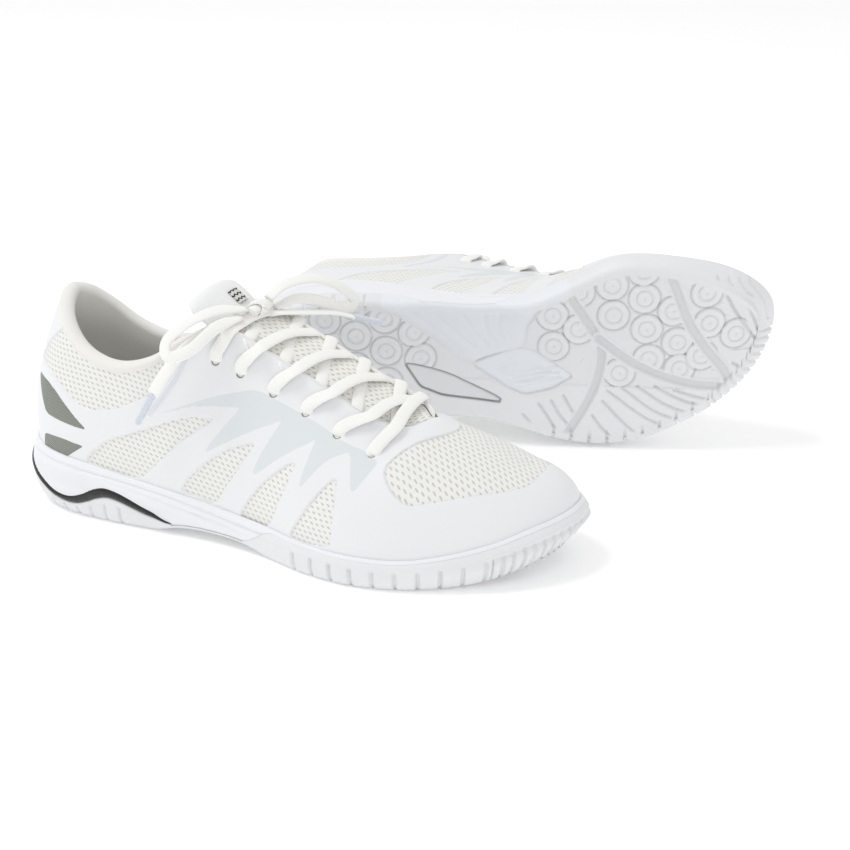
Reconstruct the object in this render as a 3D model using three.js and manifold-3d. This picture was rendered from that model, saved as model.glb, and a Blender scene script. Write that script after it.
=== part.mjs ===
// A pair of low court shoes for cheerleading and gymnastics, laced and tied.
// The right shoe stands on its sole, the left one lies behind it on its outer side.
// Millimetres, +Z up. Each shoe is drawn heel to toe along +X with its inner (medial) side at +Y.
import * as THREE from 'three';
import Module from 'manifold-3d';

// ---- driving sizes -------------------------------------------------------
const SHOE_LENGTH = 290;        // outsole, heel to toe
const BALL_WIDTH = 108;         // outsole across the ball of the foot
const COLLAR_HEIGHT = 107.5;    // top of the heel collar above the ground
const UPPER_THICK = 1.5;        // mesh upper
const FILM_THICK = 0.8;         // fused film overlays
const GAP = 0.4;                // clearance between separate pieces
const RUBBER_THICK = 3.5;       // outsole tread
const RUBBER_WRAP = 9;          // how far the forefoot rubber climbs the side wall
const WRAP_THICK = 2;
const INSOLE_THICK = 3;
const BOARD_THICK = 1.2;
const TONGUE_THICK = 4;
const COLLAR_PAD = 3.6;         // thickness of the padded lining
const LACE_WIDTH = 6.4;         // flat lace
const LACE_THICK = 2.0;
const AGLET_DIAMETER = 3.2;
const AGLET_LENGTH = 16;

const SX = SHOE_LENGTH / 290;
const SY = BALL_WIDTH / 108;
const SZ = COLLAR_HEIGHT / 107.5;

// how the left shoe lies: turned on to its outer side (degrees), then moved (mm)
const LEFT_TURN = [-84, -1.73, 19.43];
const LEFT_MOVE = [70.3, 88.3, 47.7];

// ---- outline of the sole in plan (x, y), outer side and inner side, toe to heel ----
const TOE_TIP = [290, 13];
const HEEL_BACK = [0, 0];
const OUTER_SIDE = [
  [286, -2], [276, -17], [262, -29], [244, -39], [222, -48], [198, -52], [172, -49],
  [146, -41.5], [118, -38], [88, -38], [58, -37.5], [34, -34.5], [16, -27], [5, -15],
];
const INNER_SIDE = [
  [288, 27], [278, 39], [262, 48], [242, 53.5], [220, 56], [200, 54], [182, 45.5],
  [160, 35.5], [132, 32], [100, 34], [66, 36.5], [38, 34.5], [18, 27], [5, 14],
];

// ---- heights along the shoe (x, z) ----
const BITE_LINE = [
  [0, 32], [20, 31.2], [45, 29.6], [75, 26], [102, 22.2], [135, 17.8], [170, 15.2],
  [200, 14.5], [225, 15], [245, 18.2], [262, 22.5], [276, 27], [290, 30],
];
const FOOTBED = [
  [0, 24], [60, 22], [100, 18], [150, 12.5], [190, 10.5], [230, 11.5], [262, 16.5], [290, 24.5],
];
const GROUND = [
  [0, 6], [10, 2.5], [24, 0.4], [40, 0], [90, 0], [140, 0], [190, 0], [226, 0],
  [246, 1], [262, 3.5], [276, 7.5], [290, 13],
];
const ARCH_LIFT = [
  [0, 0], [60, 0], [78, 0], [86, 0.5], [98, 3.4], [120, 4.2], [138, 3.2], [150, 0.5], [158, 0], [200, 0], [290, 0],
];

// ---- the upper: where its top edge lies, by share s of the side from toe (0) to heel (1) ----
// s, x, half width of the opening, z, lift, reach and drop of the cross-section curve
const TOP_EDGE = [
  [0.00, 262, 0.0, 46.5, 0.55, 0.45, 0.00],
  [0.06, 260, 0.0, 47.2, 0.55, 0.45, 0.00],
  [0.12, 254, 0.0, 49.8, 0.55, 0.45, 0.00],
  [0.20, 241, 0.0, 55.5, 0.55, 0.47, 0.00],
  [0.28, 227, 0.0, 61.5, 0.55, 0.48, 0.02],
  [0.33, 218, 0.0, 65.5, 0.55, 0.48, 0.04],
  [0.37, 208, 12.5, 66.5, 0.52, 0.48, 0.14],
  [0.42, 193, 16.0, 72.5, 0.50, 0.46, 0.20],
  [0.49, 168, 16.5, 85.0, 0.46, 0.42, 0.26],
  [0.56, 142, 18.0, 97.5, 0.44, 0.42, 0.34],
  [0.61, 124, 20.0, 105.5, 0.42, 0.45, 0.40],
  [0.64, 114, 22.5, 105.5, 0.42, 0.45, 0.42],
  [0.68, 100, 26.0, 96.5, 0.42, 0.45, 0.40],
  [0.73, 84, 29.0, 84.5, 0.42, 0.45, 0.36],
  [0.78, 66, 30.0, 79.0, 0.42, 0.45, 0.34],
  [0.84, 46, 28.0, 83.5, 0.42, 0.50, 0.34],
  [0.90, 31, 21.5, 95.5, 0.44, 0.60, 0.34],
  [0.95, 23.5, 12.0, 104.0, 0.45, 0.70, 0.34],
  [1.00, 20, 0.0, 107.5, 0.45, 0.75, 0.34],
];
const MIDLINE = [[0, 0], [60, 0], [110, -1], [150, -1], [200, 1.5], [230, 9], [263, 16]];
const SIDE_TILT = [[0, 0], [100, 0], [130, 0.08], [170, 0.15], [205, 0.15], [225, 0.1], [250, 0], [290, 0]];

// ---- how far the side wall stands in (-) or out (+) from the plan outline, by s ----
const OUT_GROUND = [[0, -8.5], [0.1, -7], [0.2, -4], [0.3, -1.5], [0.5, -1.5], [0.6, -3], [0.75, -2], [0.9, -1], [1, -1]];
const OUT_MIDDLE = [[0, 0], [0.1, 0.5], [0.2, 1], [0.3, 1.2], [0.5, 0.5], [0.6, -0.5], [0.75, 0.5], [0.9, 3], [1, 5]];
const INSET = [[0, 6], [0.1, 5], [0.2, 3.6], [0.3, 2.8], [0.5, 2.6], [0.75, 2.4], [0.9, 1.6], [1, 1]];
const SIDE_BULGE = 2.2;

// share of each side where the pieces are cut into facets
const S_GRID = [
  0, 0.035, 0.07, 0.11, 0.16, 0.22, 0.28, 0.33, 0.37, 0.42, 0.48,
  0.54, 0.6, 0.64, 0.69, 0.75, 0.81, 0.86, 0.9, 0.935, 0.97, 1,
];
const RISE = [0, 0.2, 0.42, 0.64, 0.84, 1];   // facet lines between the bite line and the top edge
const SEAM = 0.0013;                          // half gap at a seam, as a share of a side

// side-view outlines (x, z) of the mesh windows left open in the outer film
const OUTER_WINDOWS = [
  [[47, 32], [63, 45], [92, 57], [120, 62], [98, 46], [80, 30]],
  [[102, 28], [109, 35], [128, 50], [142, 54], [134, 40], [121, 26]],
  [[136, 24], [137, 26], [149, 38], [164, 50], [161, 37], [153, 22]],
  [[165, 21], [172, 28], [186, 47], [189, 32], [188, 19]],
];
const INNER_WINDOWS = [
  [[60, 38], [84, 55], [108, 64], [100, 43], [88, 31]],
  [[108, 29], [122, 47], [142, 64], [138, 43], [128, 26]],
  [[146, 24], [156, 40], [172, 56], [170, 37], [162, 22]],
];

// ==== small numeric helpers ===============================================
function smooth(table, x, column = 1) {
  const n = table.length;
  let i = 0;
  while (i < n - 2 && x > table[i + 1][0]) i += 1;
  const slope = (k) => {
    if (k === 0) return (table[1][column] - table[0][column]) / (table[1][0] - table[0][0]);
    if (k === n - 1) return (table[k][column] - table[k - 1][column]) / (table[k][0] - table[k - 1][0]);
    const a = table[k][0] - table[k - 1][0];
    const b = table[k + 1][0] - table[k][0];
    const rise = a * a * table[k + 1][column] + (b * b - a * a) * table[k][column];
    return (rise - b * b * table[k - 1][column]) / (a * b * (a + b));
  };
  const h = table[i + 1][0] - table[i][0];
  const t = Math.min(Math.max((x - table[i][0]) / h, 0), 1);
  const t2 = t * t;
  const t3 = t2 * t;
  const start = (2 * t3 - 3 * t2 + 1) * table[i][column] + (t3 - 2 * t2 + t) * h * slope(i);
  return start + (-2 * t3 + 3 * t2) * table[i + 1][column] + (t3 - t2) * h * slope(i + 1);
}

// top-edge stations continued past both ends, so that the two sides meet smoothly
function mirrored(rows) {
  const flip = (row, about) => [2 * about - row[0], row[1], -row[2], ...row.slice(3)];
  const before = rows.slice(1, 3).reverse().map((row) => flip(row, 0));
  const after = rows.slice(-3, -1).reverse().map((row) => flip(row, 1));
  return [...before, ...rows, ...after];
}
const STATIONS = mirrored(TOP_EDGE);

// both sides of the plan outline as evenly walked curves
function walkedSides() {
  const points = [TOE_TIP, ...OUTER_SIDE, HEEL_BACK, ...INNER_SIDE.slice().reverse()];
  const nodes = points.map((p) => new THREE.Vector3(p[0] * SX, p[1] * SY, 0));
  const curve = new THREE.CatmullRomCurve3(nodes, true, 'centripetal');
  const steps = 24 * points.length;
  const all = [];
  for (let i = 0; i <= steps; i += 1) all.push(curve.getPoint(i / steps));
  const heel = 24 * (OUTER_SIDE.length + 1);
  return [all.slice(0, heel + 1), all.slice(heel).reverse()];
}
function lengths(line) {
  const out = [0];
  for (let i = 1; i < line.length; i += 1) out.push(out[i - 1] + line[i].distanceTo(line[i - 1]));
  return out;
}
const [OUTER_LINE, INNER_LINE] = walkedSides();
const OUTER_LEN = lengths(OUTER_LINE);
const INNER_LEN = lengths(INNER_LINE);

// the turn t runs from the heel (-1) along the outer side to the toe (0) and back to the heel (1)
function wrap(t) {
  if (t > 1) return t - 2;
  return t < -1 ? t + 2 : t;
}
function plan(turn) {
  const t = wrap(turn);
  const line = t < 0 ? OUTER_LINE : INNER_LINE;
  const len = t < 0 ? OUTER_LEN : INNER_LEN;
  const want = Math.abs(t) * len[len.length - 1];
  let i = 1;
  while (i < len.length - 1 && len[i] < want) i += 1;
  return line[i - 1].clone().lerp(line[i], (want - len[i - 1]) / (len[i] - len[i - 1]));
}
function planOut(t) {
  const d = plan(t + 0.004).sub(plan(t - 0.004)).normalize();
  return new THREE.Vector3(d.y, -d.x, 0);
}
const bite = (x) => smooth(BITE_LINE, x / SX);
const footbed = (x) => smooth(FOOTBED, x / SX);
const ground = (x) => Math.max(0, smooth(GROUND, x / SX));
const archLift = (x) => Math.max(0, smooth(ARCH_LIFT, x / SX));

// ==== the outer skin of the upper =========================================
function edgeStation(turn) {
  const t = wrap(turn);
  const s = Math.abs(t);
  const side = t < 0 ? -1 : 1;
  const x = smooth(STATIONS, s, 1) * SX;
  const half = smooth(STATIONS, s, 2) * SY;
  const mid = smooth(MIDLINE, x / SX) * SY;
  const z = smooth(STATIONS, s, 3) * SZ + side * half * smooth(SIDE_TILT, x / SX);
  return { s, x, half, y: mid + side * half, z };
}
function skin(turn, v) {
  const edge = edgeStation(turn);
  const base = plan(turn);
  const out = planOut(turn);
  const p0 = base.clone().addScaledVector(out, -smooth(INSET, edge.s));
  p0.z = footbed(base.x) + GAP;
  const p3 = new THREE.Vector3(edge.x, edge.y, edge.z);
  const rise = p3.z - p0.z;
  const p1 = p0.clone().addScaledVector(out, SIDE_BULGE);
  p1.z += smooth(STATIONS, edge.s, 4) * rise;
  const reach = smooth(STATIONS, edge.s, 5);
  const p2 = p3.clone();
  p2.x += (p0.x - p3.x) * reach;
  p2.y += (p0.y - p3.y) * reach;
  p2.z -= smooth(STATIONS, edge.s, 6) * rise;
  const w = 1 - v;
  const point = p0.multiplyScalar(w * w * w);
  point.addScaledVector(p1, 3 * v * w * w);
  point.addScaledVector(p2, 3 * v * v * w);
  return point.addScaledVector(p3, v * v * v);
}
function skinOut(turn, level) {
  const v = Math.min(level, 0.96);
  const along = skin(turn + 0.006, v).sub(skin(turn - 0.006, v));
  const up = skin(turn, v + 0.02).sub(skin(turn, Math.max(v - 0.02, 0)));
  return along.cross(up).normalize();
}
function layer(turn, v, off) {
  const n = skinOut(turn, v);
  if (v > 0.999 && edgeStation(turn).half < 0.6) n.add(skinOut(-turn, v)).normalize();
  return skin(turn, v).addScaledVector(n, off);
}
function biteLevel(turn) {
  let low = 0;
  let high = 0.9;
  const target = bite(plan(turn).x);
  for (let i = 0; i < 30; i += 1) {
    const middle = (low + high) / 2;
    if (skin(turn, middle).z < target) low = middle;
    else high = middle;
  }
  return low;
}
// facet line k: 0 at the footbed, 1 at the bite line, 2.. up to the top edge
const LEVELS = RISE.length + 1;
function level(turn, k) {
  if (k === 0) return 0;
  const b = biteLevel(turn);
  if (k === 1) return b;
  const start = b + 0.05;
  return start + (1 - start) * RISE[k - 2];
}

// ==== closed solids =======================================================
class Shell {
  constructor() {
    this.points = [];
    this.keys = new Map();
    this.faces = [];
  }
  vertex(p) {
    const key = [p.x, p.y, p.z].map((c) => Math.round(c * 2000)).join(',');
    if (!this.keys.has(key)) {
      this.keys.set(key, this.points.length);
      this.points.push(p.clone());
    }
    return this.keys.get(key);
  }
  face(a, b, c) {
    const f = [this.vertex(a), this.vertex(b), this.vertex(c)];
    if (f[0] === f[1] || f[1] === f[2] || f[2] === f[0]) return;
    this.faces.push(f);
  }
  quad(a, b, c, d) {
    this.face(a, b, c);
    this.face(a, c, d);
  }
  volume() {
    let sum = 0;
    for (const [a, b, c] of this.faces) {
      sum += this.points[a].dot(new THREE.Vector3().crossVectors(this.points[b], this.points[c]));
    }
    return sum / 6;
  }
  geometry() {
    const swap = this.volume() < 0;
    const g = new THREE.BufferGeometry();
    const flat = this.points.flatMap((p) => [p.x, p.y, p.z]);
    g.setAttribute('position', new THREE.Float32BufferAttribute(flat, 3));
    g.setIndex(this.faces.flatMap((f) => (swap ? [f[0], f[2], f[1]] : f)));
    return g;
  }
}
// a plate between two grids of points; start: false leaves the first row folded on itself,
// flip: the facets are split along the other diagonal
function plate(front, back, start = true, flip = false) {
  const s = new Shell();
  const rows = front.length - 1;
  const cols = front[0].length - 1;
  for (let r = 0; r < rows; r += 1) {
    for (let c = 0; c < cols; c += 1) {
      const cell = (g) => [g[r][c], g[r + 1][c], g[r + 1][c + 1], g[r][c + 1]];
      const turned = (q) => (flip ? [q[1], q[2], q[3], q[0]] : q);
      s.quad(...turned(cell(front)));
      const [p, q, u, w] = turned(cell(back));
      s.quad(p, w, u, q);
    }
    s.quad(front[r][0], back[r][0], back[r + 1][0], front[r + 1][0]);
    s.quad(front[r][cols], front[r + 1][cols], back[r + 1][cols], back[r][cols]);
  }
  for (let c = 0; c < cols; c += 1) {
    if (start) s.quad(front[0][c], front[0][c + 1], back[0][c + 1], back[0][c]);
    s.quad(front[rows][c], back[rows][c], back[rows][c + 1], front[rows][c + 1]);
  }
  return s.geometry();
}
// closed loops stacked one after another and closed across by a ladder of facets at each end
function stack(loops) {
  const s = new Shell();
  const n = loops[0].length;
  for (let k = 0; k < loops.length - 1; k += 1) {
    for (let i = 0; i < n; i += 1) {
      const j = (i + 1) % n;
      s.quad(loops[k][i], loops[k][j], loops[k + 1][j], loops[k + 1][i]);
    }
  }
  const ladder = (loop, reverse) => {
    for (let i = 0; i < n / 2; i += 1) {
      const quad = [loop[i], loop[(n - i) % n], loop[n - i - 1], loop[i + 1]];
      if (reverse) quad.reverse();
      s.quad(...quad);
    }
  };
  ladder(loops[0], false);
  ladder(loops[loops.length - 1], true);
  return s.geometry();
}
// a flat or round cord through the points, its flat side facing `up`
function sweep(points, width, thick, sides, up) {
  const s = new Shell();
  const rings = points.map((p, i) => {
    const ahead = points[Math.min(i + 1, points.length - 1)].clone();
    ahead.sub(points[Math.max(i - 1, 0)]).normalize();
    const side = new THREE.Vector3().crossVectors(ahead, up[i]).normalize();
    const top = new THREE.Vector3().crossVectors(side, ahead).normalize();
    return Array.from({ length: sides }, (_, k) => {
      const a = ((k + 0.5) / sides) * Math.PI * 2;
      const q = p.clone().addScaledVector(side, Math.cos(a) * width / 2);
      return q.addScaledVector(top, Math.sin(a) * thick / 2);
    });
  });
  for (let i = 0; i < rings.length - 1; i += 1) {
    for (let k = 0; k < sides; k += 1) {
      const m = (k + 1) % sides;
      s.quad(rings[i][k], rings[i][m], rings[i + 1][m], rings[i + 1][k]);
    }
  }
  const last = rings.length - 1;
  for (let k = 1; k < sides - 1; k += 1) {
    s.face(rings[0][0], rings[0][k + 1], rings[0][k]);
    s.face(rings[last][0], rings[last][k], rings[last][k + 1]);
  }
  return s.geometry();
}
const scaled = (p) => new THREE.Vector3(p[0] * SX, p[1] * SY, p[2] * SZ);
// smooth walk through hand-set points
function curved(points, steps) {
  const nodes = points.map((p) => scaled(p));
  const curve = new THREE.CatmullRomCurve3(nodes, false, 'centripetal');
  return Array.from({ length: steps + 1 }, (_, i) => curve.getPoint(i / steps));
}

// ==== boolean cuts ========================================================
const wasm = await Module();
wasm.setup();
function toManifold(geometry) {
  const vertProperties = new Float32Array(geometry.attributes.position.array);
  const triVerts = new Uint32Array(geometry.index.array);
  const mesh = new wasm.Mesh({ numProp: 3, vertProperties, triVerts });
  mesh.merge();
  return new wasm.Manifold(mesh);
}
function fromManifold(body) {
  const mesh = body.getMesh();
  const g = new THREE.BufferGeometry();
  g.setAttribute('position', new THREE.Float32BufferAttribute(mesh.vertProperties, 3));
  g.setIndex(Array.from(mesh.triVerts));
  return g;
}
// a prism on an outline: `place` maps outline (a, b) and depth c into space
function prism(outline, low, high, place) {
  const s = new Shell();
  const shape = outline.map((p) => new THREE.Vector2(p[0], p[1]));
  if (THREE.ShapeUtils.isClockWise(shape)) shape.reverse();
  const at = (p, c) => new THREE.Vector3(...place(p.x, p.y, c));
  for (const [i, j, k] of THREE.ShapeUtils.triangulateShape(shape, [])) {
    s.face(at(shape[i], low), at(shape[k], low), at(shape[j], low));
    s.face(at(shape[i], high), at(shape[j], high), at(shape[k], high));
  }
  shape.forEach((p, i) => {
    const q = shape[(i + 1) % shape.length];
    s.quad(at(p, low), at(q, low), at(q, high), at(p, high));
  });
  return s.geometry();
}
const sideways = (x, z, y) => [x * SX, y, z];
const upright = (x, y, z) => [x * SX, y * SY, z];
function cut(geometry, tools) {
  let body = toManifold(geometry);
  for (const tool of tools) body = body.subtract(toManifold(tool));
  return fromManifold(body);
}
function keep(geometry, tool) {
  return fromManifold(toManifold(geometry).intersect(toManifold(tool)));
}

// ==== the sole ============================================================
const TURNS = [...S_GRID.slice(0, -1).map((s) => -s), ...S_GRID.slice(1).reverse()];
// the loop starts at the toe, runs down the outer side to the heel and back up the inner side
function loop(at) {
  return TURNS.map((t) => at(t));
}
function offPlan(t, off, z) {
  const p = plan(t).addScaledVector(planOut(t), off);
  p.z = z;
  return p;
}
function soleBottom(t) {
  const x = plan(t).x;
  return ground(x) + archLift(x);
}
function wrapTop(t) {
  return soleBottom(t) + RUBBER_WRAP;
}
function rim(t, off) {
  return layer(t, biteLevel(t), off);
}
const groundOff = (t) => smooth(OUT_GROUND, Math.abs(wrap(t)));
const middleOff = (t) => smooth(OUT_MIDDLE, Math.abs(wrap(t)));

function midsole() {
  const under = RUBBER_THICK + GAP + 0.15;
  const inside = WRAP_THICK + GAP;
  return stack([
    loop((t) => offPlan(t, groundOff(t) - inside, soleBottom(t) + under)),
    loop((t) => offPlan(t, middleOff(t) - inside, wrapTop(t) + GAP)),
    loop((t) => offPlan(t, middleOff(t), wrapTop(t) + GAP + 0.6)),
    loop((t) => wall(t, 0.5)),
    loop((t) => rim(t, GAP + 1.7)),
    loop((t) => rim(t, GAP + 0.05)),
    loop((t) => layer(t, biteLevel(t) * 0.5, GAP + 0.05)),
    loop((t) => {
      const p = layer(t, 0, GAP + 0.05);
      p.z = footbed(plan(t).x);
      return p;
    }),
  ]);
}
// side wall of the midsole above the rubber: h from 0 (just above it) to 1 (the rim)
function wall(t, h, off = 0) {
  const low = offPlan(t, middleOff(t), wrapTop(t) + GAP + 0.6);
  const top = rim(t, GAP + 1.7);
  const p = low.lerp(top, h);
  const belly = Math.sin(Math.PI * h) * 0.8;
  return p.addScaledVector(planOut(t), belly + off);
}
function rubberCup() {
  return stack([
    loop((t) => offPlan(t, groundOff(t), ground(plan(t).x))),
    loop((t) => offPlan(t, middleOff(t), wrapTop(t) - archLift(plan(t).x))),
    loop((t) => offPlan(t, middleOff(t) - WRAP_THICK, wrapTop(t) - archLift(plan(t).x))),
    loop((t) => offPlan(t, groundOff(t) - WRAP_THICK, ground(plan(t).x) + RUBBER_THICK)),
  ]);
}
function outsoleForefoot() {
  const outline = [[143, -70], [150, -20], [154, 0], [157, 20], [164, 70], [320, 70], [320, -70]];
  return keep(rubberCup(), prism(outline, -20, 60, upright));
}
function outsoleHeel() {
  const outline = [[92, -70], [86, -14], [80, 0], [86, 14], [92, 70], [-30, 70], [-30, -70]];
  return keep(rubberCup(), prism(outline, -20, 60, upright));
}
// arch plate between the two rubber pieces
function shank() {
  const stations = [97, 106, 115, 124, 133, 140];
  const row = (x, z) => [-1, -0.5, 0, 0.5, 1].map((w) => {
    const half = 27 - 2 * Math.cos((x - 97) / 43 * Math.PI);
    return new THREE.Vector3(x * SX, (w * half - 1.5) * SY, z(x));
  });
  const top = (x) => archLift(x * SX) + RUBBER_THICK - 0.1;
  return plate(stations.map((x) => row(x, (a) => top(a))), stations.map((x) => row(x, (a) => top(a) - 2.4)));
}
// dark wave-shaped insert round the outer heel wall: share of the wall height by s
const WAVE = [[0.7, 0.02], [0.75, 0.1], [0.81, 0.34], [0.86, 0.42], [0.9, 0.3], [0.935, 0.24], [0.97, 0.36], [1, 0.5]];
const WAVE_WIDTH = 0.13;
function heelWave() {
  const turns = S_GRID.filter((s) => s >= 0.7).map((s) => -s);
  const grid = (off) => turns.map((t) => [-1, 1].map((w) => {
    return wall(t, smooth(WAVE, -t) + w * WAVE_WIDTH / 2, off + 0.05);
  }));
  return plate(grid(GAP + 1.2), grid(GAP));
}
// boards that lie on the footbed inside the upper
function board(inset, low, thick) {
  const ring = (z) => loop((t) => {
    const p = layer(t, 0, -inset);
    p.z = footbed(plan(t).x) + z;
    return p;
  });
  return stack([ring(low), ring(low + thick)]);
}

// ==== the upper ===========================================================
function turnsBetween(from, to) {
  const lo = Math.min(from, to);
  const hi = Math.max(from, to);
  const all = [...S_GRID.map((s) => -s), ...S_GRID, ...S_GRID.map((s) => 2 - s)];
  const inside = [...new Set(all)].filter((t) => t > lo + 0.012 && t < hi - 0.012);
  return [lo, ...inside.sort((a, b) => a - b), hi];
}
function panel(from, to, k0, k1, top, bottom) {
  const turns = turnsBetween(from, to);
  const ks = Array.from({ length: k1 - k0 + 1 }, (_, i) => k0 + i);
  const grid = (off) => turns.map((t) => ks.map((k) => layer(t, level(t, k), off)));
  return plate(grid(top), grid(bottom));
}
// toe piece: both sides of the toe joined over the midline
function toePanel(until, k0, k1, top, bottom) {
  const stops = [...S_GRID.filter((s) => s < until - 0.012), until];
  const ks = Array.from({ length: k1 - k0 + 1 }, (_, i) => k0 + i);
  const both = (s, off) => {
    const left = ks.map((k) => layer(-s, level(-s, k), off));
    const right = ks.map((k) => layer(s, level(s, k), off)).reverse();
    return [...left, ...(k1 === LEVELS ? right.slice(1) : right)];
  };
  return plate(stops.map((s) => both(s, top)), stops.map((s) => both(s, bottom)), false, true);
}
const FILM_LOW = GAP;
const FILM_TOP = GAP + FILM_THICK;
function upperVamp() {
  return toePanel(0.33 - SEAM, 0, LEVELS, 0, -UPPER_THICK);
}
function upperQuarter(side) {
  return panel(side * (0.33 + SEAM), side * (1 - SEAM), 0, LEVELS, 0, -UPPER_THICK);
}
function filmQuarter(side, windows) {
  const film = panel(side * 0.37, side * 0.86, 2, LEVELS, FILM_TOP, FILM_LOW);
  const tools = windows.map((w) => prism(w, side * 5, side * 90, sideways));
  return cut(film, tools);
}
function filmToe() {
  return panel(-0.33 + SEAM, 0.33 - SEAM, 2, 4, FILM_TOP, FILM_LOW);
}
function heelCounter() {
  return panel(0.86, 1.14, 1, 4, -UPPER_THICK - GAP, -UPPER_THICK - GAP - 1.2);
}
function collarLining() {
  const out = -UPPER_THICK - GAP;
  return panel(0.69, 1.31, 5, LEVELS, out, out - COLLAR_PAD);
}
// small printed patches on the outer heel, as thin pads: share along the side, levels
function patch(s0, s1, v0, v1) {
  const turns = turnsBetween(-s1, -s0);
  const grid = (off) => turns.map((t, i) => {
    const share = i / (turns.length - 1);
    const half = (v1 - v0) / 2 * (0.35 + 0.65 * (1 - share));
    return [-1, 0, 1].map((w) => layer(t, (v0 + v1) / 2 + w * half, off));
  });
  return plate(grid(GAP + 0.75), grid(GAP));
}

// ==== tongue ==============================================================
// row of tongue points at share s: under the outer edge, across, under the inner edge
function tongueRow(s, depth) {
  const under = -UPPER_THICK - GAP - 0.15 - depth;
  const outer = [5, 6, 7].map((k) => layer(-s, level(-s, k), under));
  const inner = [7, 6, 5].map((k) => layer(s, level(s, k), under));
  const across = [0.25, 0.5, 0.75].map((w) => {
    const p = outer[2].clone().lerp(inner[0], w);
    p.z += Math.sin(Math.PI * w) * 2.2;
    return p;
  });
  return [...outer, ...across, ...inner];
}
function tongue() {
  const stops = [0.37, 0.42, 0.48, 0.54, 0.585];
  const rows = (depth) => stops.map((s) => tongueRow(s, depth));
  return plate(rows(0), rows(TONGUE_THICK), true, true);
}
// padded top of the tongue: distance up from the bend, x, z, half width
const TAB = [[127, 102.6, 18], [121, 107.5, 18.5], [114.5, 112.6, 19], [108, 117.2, 19], [104.5, 119.6, 16]];
const TAB_THICK = 6;
const TAB_LEAN = 0.06;
function tabRow(row, depth, end) {
  const [x, z, half] = row;
  const slope = new THREE.Vector3(0.56, 0, 0.83);
  return [-1, -0.5, 0, 0.5, 1].map((w) => {
    const thin = 1 - 0.35 * w * w;
    const crown = 3.2 * (1 - w * w);
    const p = new THREE.Vector3(x * SX, (w * half - 1) * SY, z * SZ + w * half * TAB_LEAN);
    p.addScaledVector(slope, crown - 3.2);
    return p.addScaledVector(slope, depth * thin * end);
  });
}
function tongueTab() {
  const last = TAB.length - 1;
  const end = (i) => (i === last ? 0.5 : 1);
  const front = TAB.map((row, i) => tabRow(row, 0, end(i)));
  const back = TAB.map((row, i) => tabRow(row, -TAB_THICK, end(i)));
  return plate(front, back);
}
function tongueLabel() {
  const rows = [[117.5, 110.25, 19], [111, 115.1, 19]];
  const pick = (row, depth) => tabRow(row, 0, 1).slice(1, 4).map((p) => {
    return p.addScaledVector(new THREE.Vector3(0.56, 0, 0.83), depth);
  });
  return plate(rows.map((r) => pick(r, GAP + 0.9)), rows.map((r) => pick(r, GAP + 0.2)));
}

// ==== laces ===============================================================
const ROWS = [0.402, 0.439, 0.489, 0.537, 0.582];   // rows of eyelets, share of the side, toe end first
const BAR_ROW = 0.382;
const EYELET_LEVEL = 0.82;
const LACE_LIFT = FILM_TOP + GAP + LACE_THICK / 2 + 1.25;
const TURN_ROOM = 0.009;      // how far apart the cord comes to an eyelet and leaves it
const CROWN_HIGH = 6.4;       // the strands that run to the outer side lie on top
const CROWN_LOW = 2.8;
function across(a, b, crown) {
  return [0.2, 0.4, 0.6, 0.8].map((w) => {
    const p = a.clone().lerp(b, w);
    p.z += Math.sin(Math.PI * w) * crown;
    return p;
  });
}
// one strand crosses from edge to edge, turning at an eyelet of each row
function laceStrand(side) {
  const edge = (turn) => layer(turn, 1, LACE_LIFT);
  const points = [edge(side * ROWS[0])];
  for (let i = 1; i < ROWS.length; i += 1) {
    const to = i % 2 === 1 ? -side : side;
    const arrive = edge(to * (ROWS[i] - TURN_ROOM));
    points.push(...across(points[points.length - 1], arrive, to < 0 ? CROWN_HIGH : CROWN_LOW));
    points.push(arrive, layer(to * ROWS[i], EYELET_LEVEL, LACE_LIFT));
    if (i < ROWS.length - 1) points.push(edge(to * (ROWS[i] + TURN_ROOM)));
  }
  return sweep(points, 4.2, LACE_THICK, 8, upFor(points));
}
function laceBar() {
  const ends = [-1, 1].map((side) => layer(side * BAR_ROW, EYELET_LEVEL, LACE_LIFT));
  const edges = [-1, 1].map((side) => layer(side * BAR_ROW, 1, LACE_LIFT));
  const points = [ends[0], edges[0], ...across(edges[0], edges[1], CROWN_LOW), edges[1], ends[1]];
  return sweep(points, 4.2, LACE_THICK, 8, upFor(points));
}
function upFor(points) {
  return points.map(() => new THREE.Vector3(0.42, -0.05, 0.9).normalize());
}
// the bow, as hand-set points of an upright right shoe; the left one lies on the floor with its own
const BOW_RIGHT = {
  knot: [[128, -7, 109], [128.5, -3, 110.2], [128.5, 1, 110.2], [128, 4.5, 109.4]],
  loopOuter: [
    [126, -9.5, 111.5], [118, -21, 113], [108, -34, 108.5], [101, -41, 100.5],
    [103, -43.5, 95], [112, -40.5, 97.5], [121, -29, 107], [125.5, -14.5, 109],
  ],
  loopInner: [
    [129, 7, 112.5], [133, 16, 117.5], [142, 29, 118.5], [151, 41, 112], [155.5, 47, 104.5],
    [153.5, 44, 100.5], [146, 34, 105.5], [137, 20, 110], [131, 9.5, 107.5],
  ],
  tailOuter: [[114, -30.5, 103], [107, -34, 97], [101, -36.5, 89], [96, -39, 81], [92.5, -41, 74]],
  tailInner: [[133.5, 7.5, 105.9], [143, 21, 103.5], [152, 33, 101], [158, 40, 98]],
};
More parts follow.
